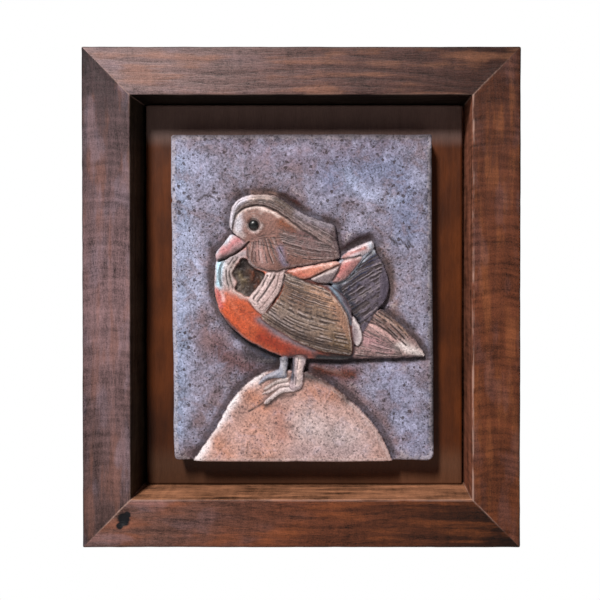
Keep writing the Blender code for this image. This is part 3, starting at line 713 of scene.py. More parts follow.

# Glaze and stain on each form, with painted highlights and painted shade among them: the colour off a
# screen, the width in cells, the strength, and the course
washesAndPaintedLight = {
    "rock": [
        # Painted highlight: white along the rock's upper left rim, partly pale glaze
        ((240, 232, 236), 5.5, 1.0, [(-42, 89), (-61, 72), (-79, 48), (-94, 21), (-106, 2)]),
        # Painted shadow along the rock's top edge beside the legs
        ((42, 28, 30), 5.5, 1.0, [(4, 87), (28, 77), (46, 62)]),
        ((168, 138, 134), 3.0, 0.6, [(50, 59), (70, 31), (87, 5)]),
        ((176, 118, 94), 9.0, 0.85, [(-54, 68), (-38, 57)]),
        ((161, 110, 91), 9.0, 0.9, [(8, 70), (30, 66)]),
        ((180, 128, 108), 12.0, 0.6, [(-48, 42), (-40, 10)]),
        ((180, 134, 122), 8.0, 0.5, [(-17, 50), (-17, 29)]),
        ((178, 124, 102), 9.0, 0.8, [(-84, 20), (-76, 8)]),
        ((184, 167, 168), 20.0, 0.8, [(6, 36), (46, 22)]),
        ((162, 139, 141), 10.0, 0.7, [(-6, 10), (60, 12)]),
        ((164, 116, 104), 8.0, 0.8, [(-24, 50), (-20, 28)]),
        # Painted shadow under the toes, where they meet the rock
        ((90, 68, 64), 2.2, 0.85, [(-37, 56), (-24, 63), (-8, 68)]),
        ((120, 84, 70), 1.2, 0.35, [(-53, 51), (-46, 55), (-39, 59)]),
    ],
    "tail": [
        ((70, 50, 42), 4.0, 0.9, [(81, 152), (97, 140), (111, 126)]),
        ((150, 118, 102), 2.6, 0.85, [(76, 147), (90, 139), (103, 128)]),
        ((84, 60, 52), 2.8, 0.85, [(68, 144), (84, 136), (98, 125), (104, 119)]),
        ((192, 154, 150), 3.0, 0.85, [(66, 138), (82, 130), (97, 119)]),
        ((166, 124, 129), 7.0, 0.8, [(60, 124), (84, 113)]),
        ((216, 202, 200), 4.8, 0.95, [(97, 117), (108, 112), (118, 107.5)]),
        ((62, 46, 52), 1.5, 0.85, [(50, 106), (98, 104.5), (118, 106)]),
    ],
    "fan": [
        ((16, 20, 52), 5.2, 0.97, [(72, 210), (67, 199), (57, 186), (46, 173)]),
        ((160, 174, 190), 1.8, 0.95, [(64, 207), (55, 194), (46, 183), (34, 177)]),
        ((196, 200, 210), 3.0, 0.9, [(66, 215), (70, 210)]),
        ((104, 124, 140), 3.0, 0.9, [(31, 175), (38, 164), (47, 149)]),
        ((57, 50, 63), 3.0, 0.7, [(82, 189), (82, 161)]),
        ((38, 36, 50), 3.0, 0.5, [(50, 155), (60, 157)]),
        ((28, 30, 44), 4.5, 0.95, [(38, 174), (47, 160), (56, 142)]),
    ],
    "body": [
        ((183, 168, 168), 9.0, 0.97, [(-74, 203), (-71, 178)]),
        ((162, 148, 153), 6.0, 0.95, [(-80, 203), (-56, 208)]),
        ((154, 138, 135), 3.0, 0.6, [(-66, 203), (-72, 178)]),
        # Painted highlight down the chest's left side
        ((190, 228, 248), 4.6, 0.97, [(-82, 198), (-82, 177)]),
        ((208, 88, 50), 3.6, 0.6, [(-81, 166), (-73, 148), (-57, 134)]),
        ((142, 52, 28), 2.6, 0.6, [(-60, 152), (-44, 138), (-26, 124)]),
        ((214, 112, 78), 1.6, 0.5, [(-75, 168), (-64, 150), (-46, 136)]),
        ((104, 88, 80), 1.8, 0.5, [(-68, 200), (-70.5, 187), (-67, 173), (-60, 165)]),
        ((190, 160, 154), 3.2, 0.8, [(-66, 171), (-50, 163)]),
        ((188, 100, 104), 2.6, 0.8, [(-84, 169), (-80, 155)]),
        ((226, 180, 178), 1.8, 0.9, [(-79, 169), (-78, 161)]),
        ((193, 81, 43), 6.0, 0.6, [(-64, 145), (-52, 143)]),
        ((128, 30, 12), 7.0, 0.8, [(-40, 125), (-12, 111)]),
        ((118, 55, 46), 4.0, 0.8, [(-10, 110), (10, 106)]),
        ((22, 20, 26), 5.5, 1.0, [(18, 105), (50, 103)]),
        ((24, 30, 42), 3.0, 0.95, [(-18, 104), (4, 104)]),
        # Painted shade along the lower edge of the breast
        ((62, 48, 56), 2.4, 0.85, [(-80, 145), (-62, 127), (-40, 113), (-17, 104)]),
        ((103, 96, 105), 4.2, 0.9, [(-42, 143), (-24, 130), (-6, 119), (12, 112)]),
        ((84, 78, 84), 4.0, 0.95, [(-14, 191), (6, 184), (26, 178)]),
        ((64, 64, 78), 7.0, 0.97, [(30, 178), (42, 164), (51, 146), (54, 124), (52, 106)]),
        ((112, 134, 152), 2.4, 0.9, [(29, 174), (36, 164), (44, 149), (48, 138)]),
        ((18, 18, 24), 4.6, 1.0, [(16, 104.5), (50, 103)]),
    ],
    "throatHollow": [
        ((75, 66, 62), 4.0, 0.6, [(-66, 190), (-62, 176)]),
        ((94, 44, 23), 4.0, 0.8, [(-48, 190), (-46, 178)]),
        ((30, 24, 24), 4.5, 0.9, [(-57, 201), (-60, 193)]),
        ((122, 106, 84), 3.0, 0.7, [(-62, 188), (-58, 178)]),
        ((128, 116, 108), 2.4, 0.7, [(-67, 188), (-64, 174), (-56, 167)]),
        ((34, 22, 18), 2.2, 0.8, [(-50, 194), (-46, 186), (-52, 172)]),
    ],
    "longSail": [
        ((209, 190, 186), 1.5, 0.85, [(-1, 195), (13, 198), (28, 200)]),
        ((187, 95, 79), 2.5, 0.6, [(-6, 187), (10, 184)]),
        ((212, 162, 148), 4.0, 0.6, [(23, 196), (36, 199)]),
    ],
    "lowerSail": [
        ((186, 108, 104), 3.0, 0.7, [(44, 198), (36, 187)]),
        ((216, 194, 192), 1.8, 0.45, [(39, 199), (50, 204), (58, 203)]),
    ],
    "middleSail": [
        ((210, 192, 190), 1.8, 0.6, [(10, 183), (28, 191), (36, 195)]),
    ],
    "upperSail": [
        ((178, 116, 112), 2.5, 0.95, [(42, 204), (50, 208), (62, 213)]),
        ((168, 176, 190), 2.2, 0.9, [(67, 218), (70, 214)]),
    ],
    "crescent": [
        ((216, 202, 204), 1.8, 0.9, [(51, 143), (57, 133), (58, 123), (55, 117)]),
        ((114, 96, 102), 2.0, 0.75, [(51, 136), (52, 123)]),
    ],
    "wing": [
        ((91, 62, 50), 9.0, 0.7, [(-18, 173), (-2, 161)]),
        ((181, 137, 111), 7.0, 0.75, [(13, 171), (28, 161)]),
        ((156, 114, 94), 6.0, 0.75, [(34, 155), (45, 131)]),
        ((126, 111, 104), 9.0, 0.6, [(-17, 149), (10, 139)]),
        ((93, 68, 39), 7.0, 0.75, [(33, 123), (44, 115)]),
        ((57, 44, 39), 3.4, 0.85, [(-6, 126), (18, 116), (44, 110)]),
        ((112, 98, 96), 5.0, 0.6, [(-30, 149), (-12, 133)]),
        ((70, 55, 50), 6.0, 0.85, [(-26, 138), (0, 127), (22, 119)]),
        ((152, 140, 136), 2.0, 0.6, [(-12, 184), (8, 178), (23, 173)]),
    ],
    "collar": [
        ((168, 142, 138), 1.6, 0.6, [(-18, 189), (-26, 165), (-40, 149)]),
        ((146, 114, 110), 3.2, 0.65, [(-23, 190), (-29, 172), (-41, 155)]),
    ],
    "crest": [
        # Painted highlight along the crest's upper left rim, partly pale glaze
        ((206, 200, 214), 4.0, 1.0, [(-67, 229), (-68, 246), (-62, 258), (-52, 264)]),
        ((174, 150, 140), 4.0, 0.75, [(-52, 262), (-32, 263)]),
        ((60, 44, 28), 5.5, 0.9, [(-24, 261), (-9, 252)]),
        ((108, 101, 116), 6.0, 0.9, [(-2, 247), (28, 235)]),
        ((84, 64, 58), 2.6, 0.9, [(-64, 250), (-52, 257), (-38, 257.5), (-25, 253.5), (-10, 243)]),
        # Painted shade on the crest's right end
        ((76, 58, 62), 5.0, 0.9, [(33, 231), (35, 208)]),
    ],
    "face": [
        ((200, 195, 205), 4.2, 0.95, [(-62, 246), (-63, 230)]),
        ((204, 182, 176), 1.7, 0.9,
         [(-64, 243), (-59, 249), (-47, 253), (-33, 250.5), (-16, 241), (-2, 231)]),
        ((112, 58, 30), 6.0, 0.9, [(-19, 239), (-2, 225)]),
        ((175, 134, 130), 6.0, 0.8, [(-45, 214), (-38, 199)]),
        ((77, 54, 60), 4.5, 0.7, [(-2, 229), (28, 218)]),
        ((122, 113, 139), 3.4, 0.85, [(-21, 213), (-17, 197)]),
        ((98, 75, 77), 9.0, 0.8, [(-10, 222), (27, 209)]),
        ((129, 97, 94), 5.0, 0.4, [(-52, 229), (-40, 221)]),
        ((206, 190, 190), 3.0, 0.6, [(-66, 228), (-59, 225)]),
        ((186, 168, 166), 1.6, 0.7, [(-54, 236), (-47, 229), (-40, 236), (-47, 243)]),
    ],
    "beak": [
        # Painted highlight along the top of the beak, partly pale glaze
        ((198, 204, 218), 2.5, 0.95, [(-70, 226), (-78, 217.5), (-85, 210)]),
        ((186, 116, 120), 3.0, 0.9, [(-62, 221), (-72, 214), (-79, 208)]),
        ((44, 16, 24), 2.7, 0.95, [(-54, 217), (-65, 210), (-77, 204), (-83, 201)]),
    ],
    "leftLeg": [
        ((184, 178, 182), 2.0, 0.6, [(-18, 104), (-18, 88)]),
        ((30, 40, 60), 3.4, 0.85, [(-22, 104), (-14, 104)]),
    ],
    "rightLeg": [
        # Painted light on the right leg's right side
        ((218, 194, 188), 2.4, 0.8, [(-2, 104), (-4, 80)]),
        # Painted shade on the right leg's left side
        ((30, 44, 66), 3.0, 0.95, [(-8.5, 104), (-10.5, 84)]),
        ((60, 46, 52), 1.8, 0.8, [(-8, 104), (4, 104)]),
    ],
    "ground": [
        ((112, 100, 116), 20.0, 0.85, [(-70, 322), (0, 300), (90, 322)]),
        ((110, 94, 102), 16.0, 0.6, [(-70, 286), (40, 274)]),
        ((140, 141, 166), 15.0, 0.85, [(-106, 306), (-100, 286)]),
        ((105, 113, 143), 20.0, 0.75, [(30, 282), (92, 288), (104, 231)]),
        ((158, 166, 196), 7.0, 0.6, [(44, 286), (62, 268), (92, 262)]),
        ((130, 130, 156), 20.0, 0.75, [(88, 85), (108, 21)]),
        ((138, 149, 178), 9.0, 0.8, [(-122, 300), (-119, 205), (-124, 30)]),
        ((156, 160, 186), 12.0, 0.75, [(-112, 222), (-106, 160)]),
        ((92, 56, 52), 14.0, 0.85, [(-90, 122), (-74, 104), (-52, 92)]),
        ((104, 80, 80), 9.0, 0.7, [(-84, 68), (-104, 40)]),
        ((90, 66, 66), 6.0, 0.75, [(-116, 6), (-102, 14)]),
        ((34, 26, 30), 7.6, 0.9, [(-54, 108), (-26, 98)]),
        ((112, 90, 94), 8.0, 0.85, [(-100, 150), (-94, 122)]),
        ((84, 68, 72), 4.5, 0.8, [(-88, 224), (-92, 200), (-91, 168)]),
        ((100, 80, 80), 6.0, 0.7, [(-80, 244), (-74, 262), (-60, 270)]),
        ((118, 92, 92), 6.0, 0.7, [(40, 78), (80, 42), (98, 8)]),
        ((74, 48, 42), 3.0, 0.7, [(-34, 269), (-18, 266), (-4, 256)]),
        ((58, 20, 12), 3.6, 0.95, [(-22, 266), (-12, 262), (-4, 256)]),
        ((170, 134, 122), 3.8, 0.95, [(-50, 268), (-28, 268)]),
        ((92, 70, 70), 3.0, 0.7, [(0, 253), (30, 241)]),
        # Painted shadow above the upper sail
        ((36, 10, 16), 5.0, 1.0, [(37, 212), (52, 220), (66, 225)]),
        ((112, 88, 84), 5.0, 0.85, [(78, 212), (86, 196), (90, 168), (92, 148)]),
        ((100, 78, 76), 5.0, 0.8, [(92, 150), (116, 118)]),
        ((80, 62, 64), 1.6, 0.8, [(54, 103), (110, 104)]),
        ((22, 34, 52), 3.8, 0.95, [(-70, 128), (-42, 111), (-20, 102)]),
        ((84, 40, 28), 10.0, 1.0, [(14, 92), (50, 86)]),
        ((40, 40, 50), 3.0, 0.85, [(8, 99), (56, 100)]),
        ((4, 16, 34), 6.0, 1.0, [(-12, 104), (-11, 94)]),
        # Darker along the tile's top and right edges
        ((44, 36, 46), 6.0, 0.95, [(-126, 326), (126, 326)]),
        ((40, 34, 42), 6.2, 0.95, [(129, 310), (131, 20)]),
        ((48, 38, 40), 2.6, 0.9, [(3, 102), (1, 74)]),
    ],
}

# Families of feather strokes lie between a first and a last stroke, in grid cells
featherEnds = {
    "cheek": ([(-48, 219), (-50, 208), (-51, 199)], [(-27, 224), (-20, 210), (-13, 198)]),
    "hackles": ([(-24, 232), (6, 224), (36, 216)], [(-14, 208), (8, 203), (36, 203)]),
    "brow": ([(-52, 222), (-36, 226), (-18, 229)], [(-50, 218), (-34, 216), (-16, 210)]),
    "crest": ([(-69, 236), (-64, 258), (-42, 264.5), (-24, 261), (-3, 247.5), (18, 239), (32, 233)],
              [(-67, 240), (-60, 252), (-46, 257.5), (-30, 255), (-13, 245), (4, 233), (30, 217)]),
    "wing": ([(-16, 186), (6, 179), (26, 172)], [(-40, 146), (-4, 124), (49, 110)]),
    "fan": ([(36, 181), (60, 197), (80, 207)], [(54, 134), (64, 141), (74, 150)]),
    "fanTop": ([(48, 190), (60, 203), (70, 213)], [(44, 179), (62, 190), (83, 195)]),
    "upperTail": ([(79, 151), (94, 141), (108, 126)], [(66, 144), (80, 134), (95, 121)]),
    "lowerTail": ([(62, 138), (78, 127), (96, 114)], [(52, 107), (76, 105.5), (100, 105.5)]),
    "collar": ([(-35, 191), (-43, 176), (-53, 163)], [(-17, 190), (-22, 170), (-38, 150)]),
    "leg": ([(-7, 104), (-8, 90), (-9, 78)], [(-3, 104), (-5, 90), (-6, 78)]),
    "throat": ([(-80, 202), (-84, 190), (-82, 172)], [(-64, 204), (-72, 190), (-68, 172)]),
}
# How each family is cut: the form that it keeps to, the mark that it leaves, how many strokes, how
# deep (or raised, below 0) and wide they are, and how uneven they lie
featherCuts = [
    ("cheek", "face", "groove", 11, 0.00040, 0.00055, 1.2),
    ("cheek", "face", "pale", 10, -0.00016, 0.00062, 1.2),
    ("hackles", "face", "groove", 14, 0.00045, 0.00055, 1.4),
    ("hackles", "face", "pale", 12, -0.00014, 0.00058, 1.5),
    ("brow", "face", "groove", 4, 0.00020, 0.00050, 0.9),
    ("crest", "crest", "groove", 6, 0.00026, 0.00055, 1.5),
    ("crest", "crest", "pale", 5, -0.00010, 0.00050, 1.5),
    ("wing", "wing", "groove", 23, 0.00046, 0.00055, 1.5),
    ("wing", "wing", "pale", 17, -0.00012, 0.00050, 1.6),
    ("fan", "fan", "groove", 22, 0.00060, 0.00090, 1.9),
    ("fan", "fan", "pale", 20, -0.00018, 0.00062, 1.9),
    ("fanTop", "fan", "groove", 6, 0.00045, 0.00060, 1.4),
    ("fanTop", "fan", "pale", 5, -0.00012, 0.00045, 1.4),
    ("upperTail", "tail", "groove", 5, 0.00060, 0.00085, 0.8),
    ("upperTail", "tail", "pale", 5, -0.00015, 0.00060, 0.8),
    ("lowerTail", "tail", "groove", 12, 0.00040, 0.00052, 1.4),
    ("lowerTail", "tail", "pale", 12, -0.00016, 0.00062, 1.4),
    ("collar", "collar", "groove", 4, 0.00025, 0.00050, 0.8),
    ("collar", "collar", "pale", 4, -0.00015, 0.00060, 0.8),
    ("throat", "body", "groove", 4, 0.00030, 0.00080, 1.0),
    ("leg", "rightLeg", "groove", 2, 0.00030, 0.00045, 0.2),
]


def inMetres(cells):
    return np.array(cells, float) * tile["cell"]


def smoothCurve(points, closed, steps=8):
    # A Catmull-Rom curve through the points
    count = len(points)
    shares = np.arange(steps)[:, None] / steps
    pieces = []
    for i in range(count if closed else count - 1):
        if closed:
            before, start, end, after = (points[(i + k) % count] for k in (-1, 0, 1, 2))
        else:
            before, start, end, after = (points[min(max(i + k, 0), count - 1)] for k in (-1, 0, 1, 2))
        linear = (end - before) * shares
        square = (2 * before - 5 * start + 4 * end - after) * shares ** 2
        cube = (3 * start - before - 3 * end + after) * shares ** 3
        pieces.append(start + (linear + square + cube) / 2)
    if not closed:
        pieces.append(points[-1:])
    return np.vstack(pieces)


def evenPoints(curve, closed, step):
    path = np.vstack([curve, curve[:1]]) if closed else curve
    along = np.concatenate([[0.0], np.cumsum(np.hypot(*np.diff(path, axis=0).T))])
    marks = np.linspace(0.0, along[-1], max(int(round(along[-1] / step)), 2) + 1)
    if closed:
        marks = marks[:-1]
    return np.column_stack([np.interp(marks, along, path[:, k]) for k in (0, 1)])


def sidePoints(curve, closed, offset):
    run = np.roll(curve, -1, axis=0) - np.roll(curve, 1, axis=0) if closed else np.gradient(curve, axis=0)
    run = run / np.hypot(*run.T)[:, None]
    return curve + offset * np.column_stack([-run[:, 1], run[:, 0]])


def nearPoints(points, curve, reach):
    # Which points lie within reach of the curve's box
    low, high = curve.min(axis=0) - reach, curve.max(axis=0) + reach
    return np.flatnonzero(((points > low) & (points < high)).all(axis=1))


def distanceTo(points, curve, closed, reach):
    distance = np.full(len(points), reach)
    start = curve if closed else curve[:-1]
    step = (np.roll(curve, -1, axis=0) if closed else curve[1:]) - start
    near = nearPoints(points, curve, reach)
    for batch in np.array_split(near, len(near) // 4000 + 1):
        offset = points[batch, None, :] - start
        share = np.clip((offset * step).sum(-1) / (step * step).sum(-1), 0.0, 1.0)
        gap = offset - share[..., None] * step
        distance[batch] = np.minimum(np.sqrt((gap ** 2).sum(-1).min(axis=1)), reach)
    return distance


def depthInside(points, outline, reach=0.016):
    # Distance to the outline, no more than reach: above 0 inside it, below 0 outside
    inside = np.zeros(len(points), bool)
    following = np.roll(outline, -1, axis=0)
    rise = np.where(outline[:, 1] == following[:, 1], 1.0, following[:, 1] - outline[:, 1])
    near = nearPoints(points, outline, 0.0)
    for batch in np.array_split(near, len(near) // 4000 + 1):
        z = points[batch, None, 1]
        crossing = outline[:, 0] + (z - outline[:, 1]) * (following[:, 0] - outline[:, 0]) / rise
        passes = ((outline[:, 1] > z) != (following[:, 1] > z)) & (points[batch, None, 0] < crossing)
        inside[batch] = passes.sum(axis=1) % 2 == 1
    distance = distanceTo(points, outline, True, reach)
    return np.where(inside, distance, -distance)


def tileOutline():
    # A hand-cut slab: its sides lean a little and wander, and one chip is gone from the left one
    half, height = tile["width"] / 2, tile["height"]
    spots = [(-half, 0.0, math.pi), (half, 0.0, 1.5 * math.pi),
             (half, height, 0.0), (-half, height, 0.5 * math.pi)]
    points = []
    for (x, z, angle), radius in zip(spots, tile["corners"]):
        middleX = x - math.copysign(radius, x)
        middleZ = z + radius if z == 0.0 else z - radius
        for i in range(7):
            turn = angle + math.pi / 2 * i / 6
            points.append((middleX + radius * math.cos(turn), middleZ + radius * math.sin(turn)))
    outline = np.array(points)
    outline[:, 0] -= tile["lean"] * (outline[:, 1] / height - 0.5)
    border = evenPoints(outline, True, tile["groundStep"])
    sway = softHills(border, 0.021, 5) * 0.00026 + softHills(border, 0.0052, 6) * 0.00009 - 0.00035
    chip = np.exp(-((border[:, 1] - 0.171) / 0.0014) ** 2) * (border[:, 0] < 0)
    return sidePoints(border, True, (0.0007 * chip - sway)[:, None])


def ragged(points):
    # How far a hand-cut edge strays from its drawn course at each point
    fold = [softHills(points, 0.0031, seed) * 0.00026 + softHills(points, 0.0013, seed + 1) * 0.00013
            for seed in (61, 71)]
    return np.column_stack(fold)


def shownOutside(points, outlines):
    kept = np.ones(len(points), bool)
    for outline in outlines:
        kept &= depthInside(points, outline, 0.002) < tile["edge"]
    return points[kept]


def honeycomb(low, high, step):
    rows = []
    for k, z in enumerate(np.arange(low[1], high[1], step * math.sqrt(3) / 2)):
        x = np.arange(low[0], high[0], step) + (k % 2) * step / 2
        rows.append(np.column_stack([x, np.full(len(x), z)]))
    return np.vstack(rows)


def gatherPoints(border, outlines):
    # Rings beside the outlines first, then honeycombs: fine on the bird, coarser on rock and ground
    kept = list(map(tuple, border))

    def keep(points, least):
        tree = KDTree(len(kept))
        for index, point in enumerate(kept):
            tree.insert((*point, 0.0), index)
        tree.balance()
        kept.extend(tuple(point) for point in points if tree.find((*point, 0.0))[2] > least)

    def inBorder(points, least):
        return points[depthInside(points, border, 0.003) > least]

    for inset in (tile["arris"] * 0.25, tile["arris"] * 0.6, tile["arris"]):
        keep(sidePoints(border, True, inset), inset * 0.3)
    names = list(outlines)
    for i, name in enumerate(names):
        ring = evenPoints(outlines[name], True, tile["outlineStep"])
        for offset in (tile["edge"] / 2, 0.0, -tile["edge"] / 2):
            later = [outlines[other] for other in names[i + 1:]]
            side = shownOutside(sidePoints(ring, True, offset), later)
            keep(inBorder(side - ragged(side), 0.0004), tile["birdStep"] * 0.62)
    bird = [outlines[name] for name in names if name != "rock"]
    everything = np.vstack(bird)
    fine = honeycomb(everything.min(axis=0), everything.max(axis=0), tile["birdStep"])
    onBird = np.max([depthInside(fine, outline, 0.002) for outline in bird], axis=0)
    keep(fine[onBird > -0.0012], tile["birdStep"] * 0.6)
    medium = honeycomb(outlines["rock"].min(axis=0), outlines["rock"].max(axis=0), tile["rockStep"])
    onRock = depthInside(medium, outlines["rock"], 0.002) > -0.001
    keep(inBorder(medium[onRock], 0.0006), tile["rockStep"] * 0.6)
    coarse = honeycomb(border.min(axis=0), border.max(axis=0), tile["groundStep"])
    keep(inBorder(coarse, tile["groundStep"] * 0.6), tile["groundStep"] * 0.6)
    return np.array(kept)


def modelRelief(points, outlines):
    # The carved height of every point, what shows there of each form, and the distance to the figure
    height = np.zeros(len(points))
    for seed, (size, rise) in enumerate(tile["hillSizes"]):
        height += softHills(points, size, seed + 1) * rise
    roughClay = height.copy()
    strayed = points + ragged(points)
    shown = {"ground": np.ones(len(points))}
    nearest = np.full(len(points), -0.016)
    for name, (level, dome, cells, colour, shine, cellsOutline) in forms.items():
        depth = depthInside(strayed, outlines[name])
        nearest = np.maximum(nearest, depth)
        rise = np.sin(np.pi / 2 * np.clip(depth / (cells * tile["cell"]), 0.0, 1.0))
        cover = smoothStep(depth / tile["edge"] + 0.5)
        height = height * (1 - cover) + (tile["relief"] * (level + dome * rise) + roughClay * 0.8) * cover
        for other in shown:
            shown[other] = shown[other] * (1 - cover)
        shown[name] = cover
    breastLine = inMetres([(-74, 202), (-71, 176)])
    flaky = np.exp(-(distanceTo(points, breastLine, False, 0.02) / 0.006) ** 2) * shown["body"]
    rough = softHills(points, 0.0027, 41) * 0.0006 + softHills(points, 0.0012, 42) * 0.00018
    height += rough * np.clip(shown["throatHollow"] * 1.6 + flaky * 0.7, 0.0, 2.0)
    groove = np.zeros(len(points))
    for depth, cells in grooves.values():
        course = smoothCurve(inMetres(cells), False)
        share = smoothStep(1 - distanceTo(strayed, course, False, 0.003) / tile["grooveWidth"])
        share = share * (0.75 + 0.35 * softHills(points, 0.003, 45))
        height -= tile["relief"] * depth * share
        groove = np.maximum(groove, share)
    outside = np.clip(-nearest, 0.0, None)
    hollow = np.exp(-(outside / tile["hollowWidth"]) ** 2) * smoothStep(outside / tile["edge"] + 0.5)
    height -= tile["hollowDepth"] * np.where(nearest < 0, hollow, 0.0)
    return height, shown, nearest, groove


def modelEye(points, height):
    fromEye = np.hypot(*(points - inMetres(tile["eyePlace"])).T) / tile["eyeRadius"]
    height += tile["eyeHeight"] * np.sqrt(np.clip(1 - fromEye ** 2, 0.0, 1.0))
    height -= tile["lidDepth"] * np.clip(1 - np.abs(fromEye - 1.0) / 0.35, 0.0, 1.0)
    height += tile["lidDepth"] * 0.7 * np.exp(-((fromEye - 1.75) / 0.35) ** 2)
    return smoothStep((1.04 - fromEye) / 0.12)


def paintTile(points, shown, nearest, groove, eye):
    # Glaze colours by form, then the washes with the painted highlights and shade among them, the brown that
    # gathered beside the figure with its dark contact line of oxide and painted shade, and the eye
    colour = shown["ground"][:, None] * np.array(clay["ground"][:3])
    shine = shown["ground"] * tile["groundShine"]
    for name, (level, dome, cells, base, gloss, cellsOutline) in forms.items():
        colour = colour + shown[name][:, None] * np.array(base[:3])
        shine = shine + shown[name] * gloss

    def lay(tint, weight):
        nonlocal colour
        colour = colour * (1 - weight[:, None]) + np.array(tint[:3]) * weight[:, None]

    outside = np.clip(-nearest, 0.0, None)
    patchy = 0.8 + 0.8 * softHills(points, 0.009, 21)
    halo = np.clip(0.48 * np.exp(-(outside / 0.0078) ** 2) * patchy, 0, 1)
    lay(clay["halo"], halo * shown["ground"])
    wander = np.column_stack([softHills(points, 0.004, seed) for seed in (31, 32)]) * 0.0009
    for form, colourMarks in washesAndPaintedLight.items():
        for shade, width, strength, cells in colourMarks:
            reach = width * tile["cell"]
            course = smoothCurve(inMetres(cells), False) if len(cells) > 2 else inMetres(cells)
            distance = distanceTo(points + wander, course, False, reach * tile["washReach"])
            weight = strength * (np.exp(-(distance / reach) ** 2) - np.exp(-tile["washReach"] ** 2))
            lay(paint(*shade), np.clip(weight * shown[form], 0.0, 1.0))
    uneven = np.clip(0.5 + 0.6 * softHills(points, 0.0035, 22), 0.0, 1.0)
    # Dark line where the figure meets the ground: oxide in the crease and painted shade
    lay(clay["creaseOxideAndShade"], 0.7 * uneven * np.exp(-(outside / 0.0011) ** 2) * shown["ground"])
    lay(clay["groove"], 0.3 * groove)
    lay(clay["eye"], eye)
    shine = shine * (1 - eye) + eye
    bare = shown["ground"] + 0.45 * shown["rock"]
    return colour, shine, bare


def setAttribute(mesh, name, kind, values):
    layer = mesh.attributes.new(name, kind, "POINT")
    if kind == "FLOAT_COLOR":
        flat = np.column_stack([values, np.ones(len(values))]).ravel()
        layer.data.foreach_set("color", flat.astype(np.float32))
    else:
        layer.data.foreach_set("value", values.astype(np.float32))


def tileMesh():
    outlines = {name: smoothCurve(inMetres(form[-1]), True) for name, form in forms.items()}
    border = tileOutline()
    points = gatherPoints(border, outlines)
    height, shown, nearest, groove = modelRelief(points, outlines)
    eye = modelEye(points, height)
    edge = np.clip(1 - depthInside(points, border, 0.004) / tile["arris"], 0.0, 1.0)
    edge[:len(border)] = 1.0
    height -= tile["arris"] * (1 - np.sqrt(1 - edge ** 2))
    colour, shine, bare = paintTile(points, shown, nearest, groove, eye)

    face = tileHigh.y - tile["thickness"]
    count, rim = len(points), len(border)
    front = np.column_stack([points[:, 0], face - height, points[:, 1] + tileLow.z])
    back = np.column_stack([border[:, 0], np.full(rim, tileHigh.y), border[:, 1] + tileLow.z])
    found = delaunay_2d_cdt([Vector(point) for point in points], [], [list(range(rim))], 1, 1e-7)
    source = [origins[0] for origins in found[3]]
    faces = [[source[k] for k in triangle] for triangle in found[2]]
    flat = delaunay_2d_cdt([Vector(point) for point in border], [], [list(range(rim))], 1, 1e-7)
    source = [origins[0] for origins in flat[3]]
    faces += [[count + source[k] for k in reversed(triangle)] for triangle in flat[2]]
    faces += [(i, count + i, count + (i + 1) % rim, (i + 1) % rim) for i in range(rim)]

    mesh = bpy.data.meshes.new("duckReliefTile")
    mesh.from_pydata(np.vstack([front, back]).tolist(), [], faces)
    sides = np.tile(clay["sides"][:3], (rim, 1))
    setAttribute(mesh, "glaze", "FLOAT_COLOR", np.vstack([colour, sides]))
    calm = np.clip(shown["throatHollow"] + eye + 0.6 * shown["fan"] + 0.6 * shown["tail"], 0, 1)
    noted = {"shine": (shine, tile["sideShine"]), "bare": (bare, 1.0), "groove": (groove, 0.0),
             "pale": (np.zeros(count), 0.0), "calm": (calm, 0.0)}
    for form in sorted({cut[1] for cut in featherCuts}):
        noted[form] = (shown[form], 0.0)
    for name, (onFront, onSides) in noted.items():
        setAttribute(mesh, name, "FLOAT", np.concatenate([onFront, np.full(rim, onSides)]))
    mesh.shade_smooth()
    mesh.set_sharp_from_angle(angle=math.radians(60))
    print("modelled the tile's relief:", len(points), "points")
    return mesh


# Feather strokes: a Geometry Nodes tree that cuts a family of grooves between two guides

stroke = {
    "rippleScale": 260.0,
    "rippleReach": 0.0011,
    "fadeScale": 210.0,
    "leastShown": 0.12,
    "firstSeed": 7,
}


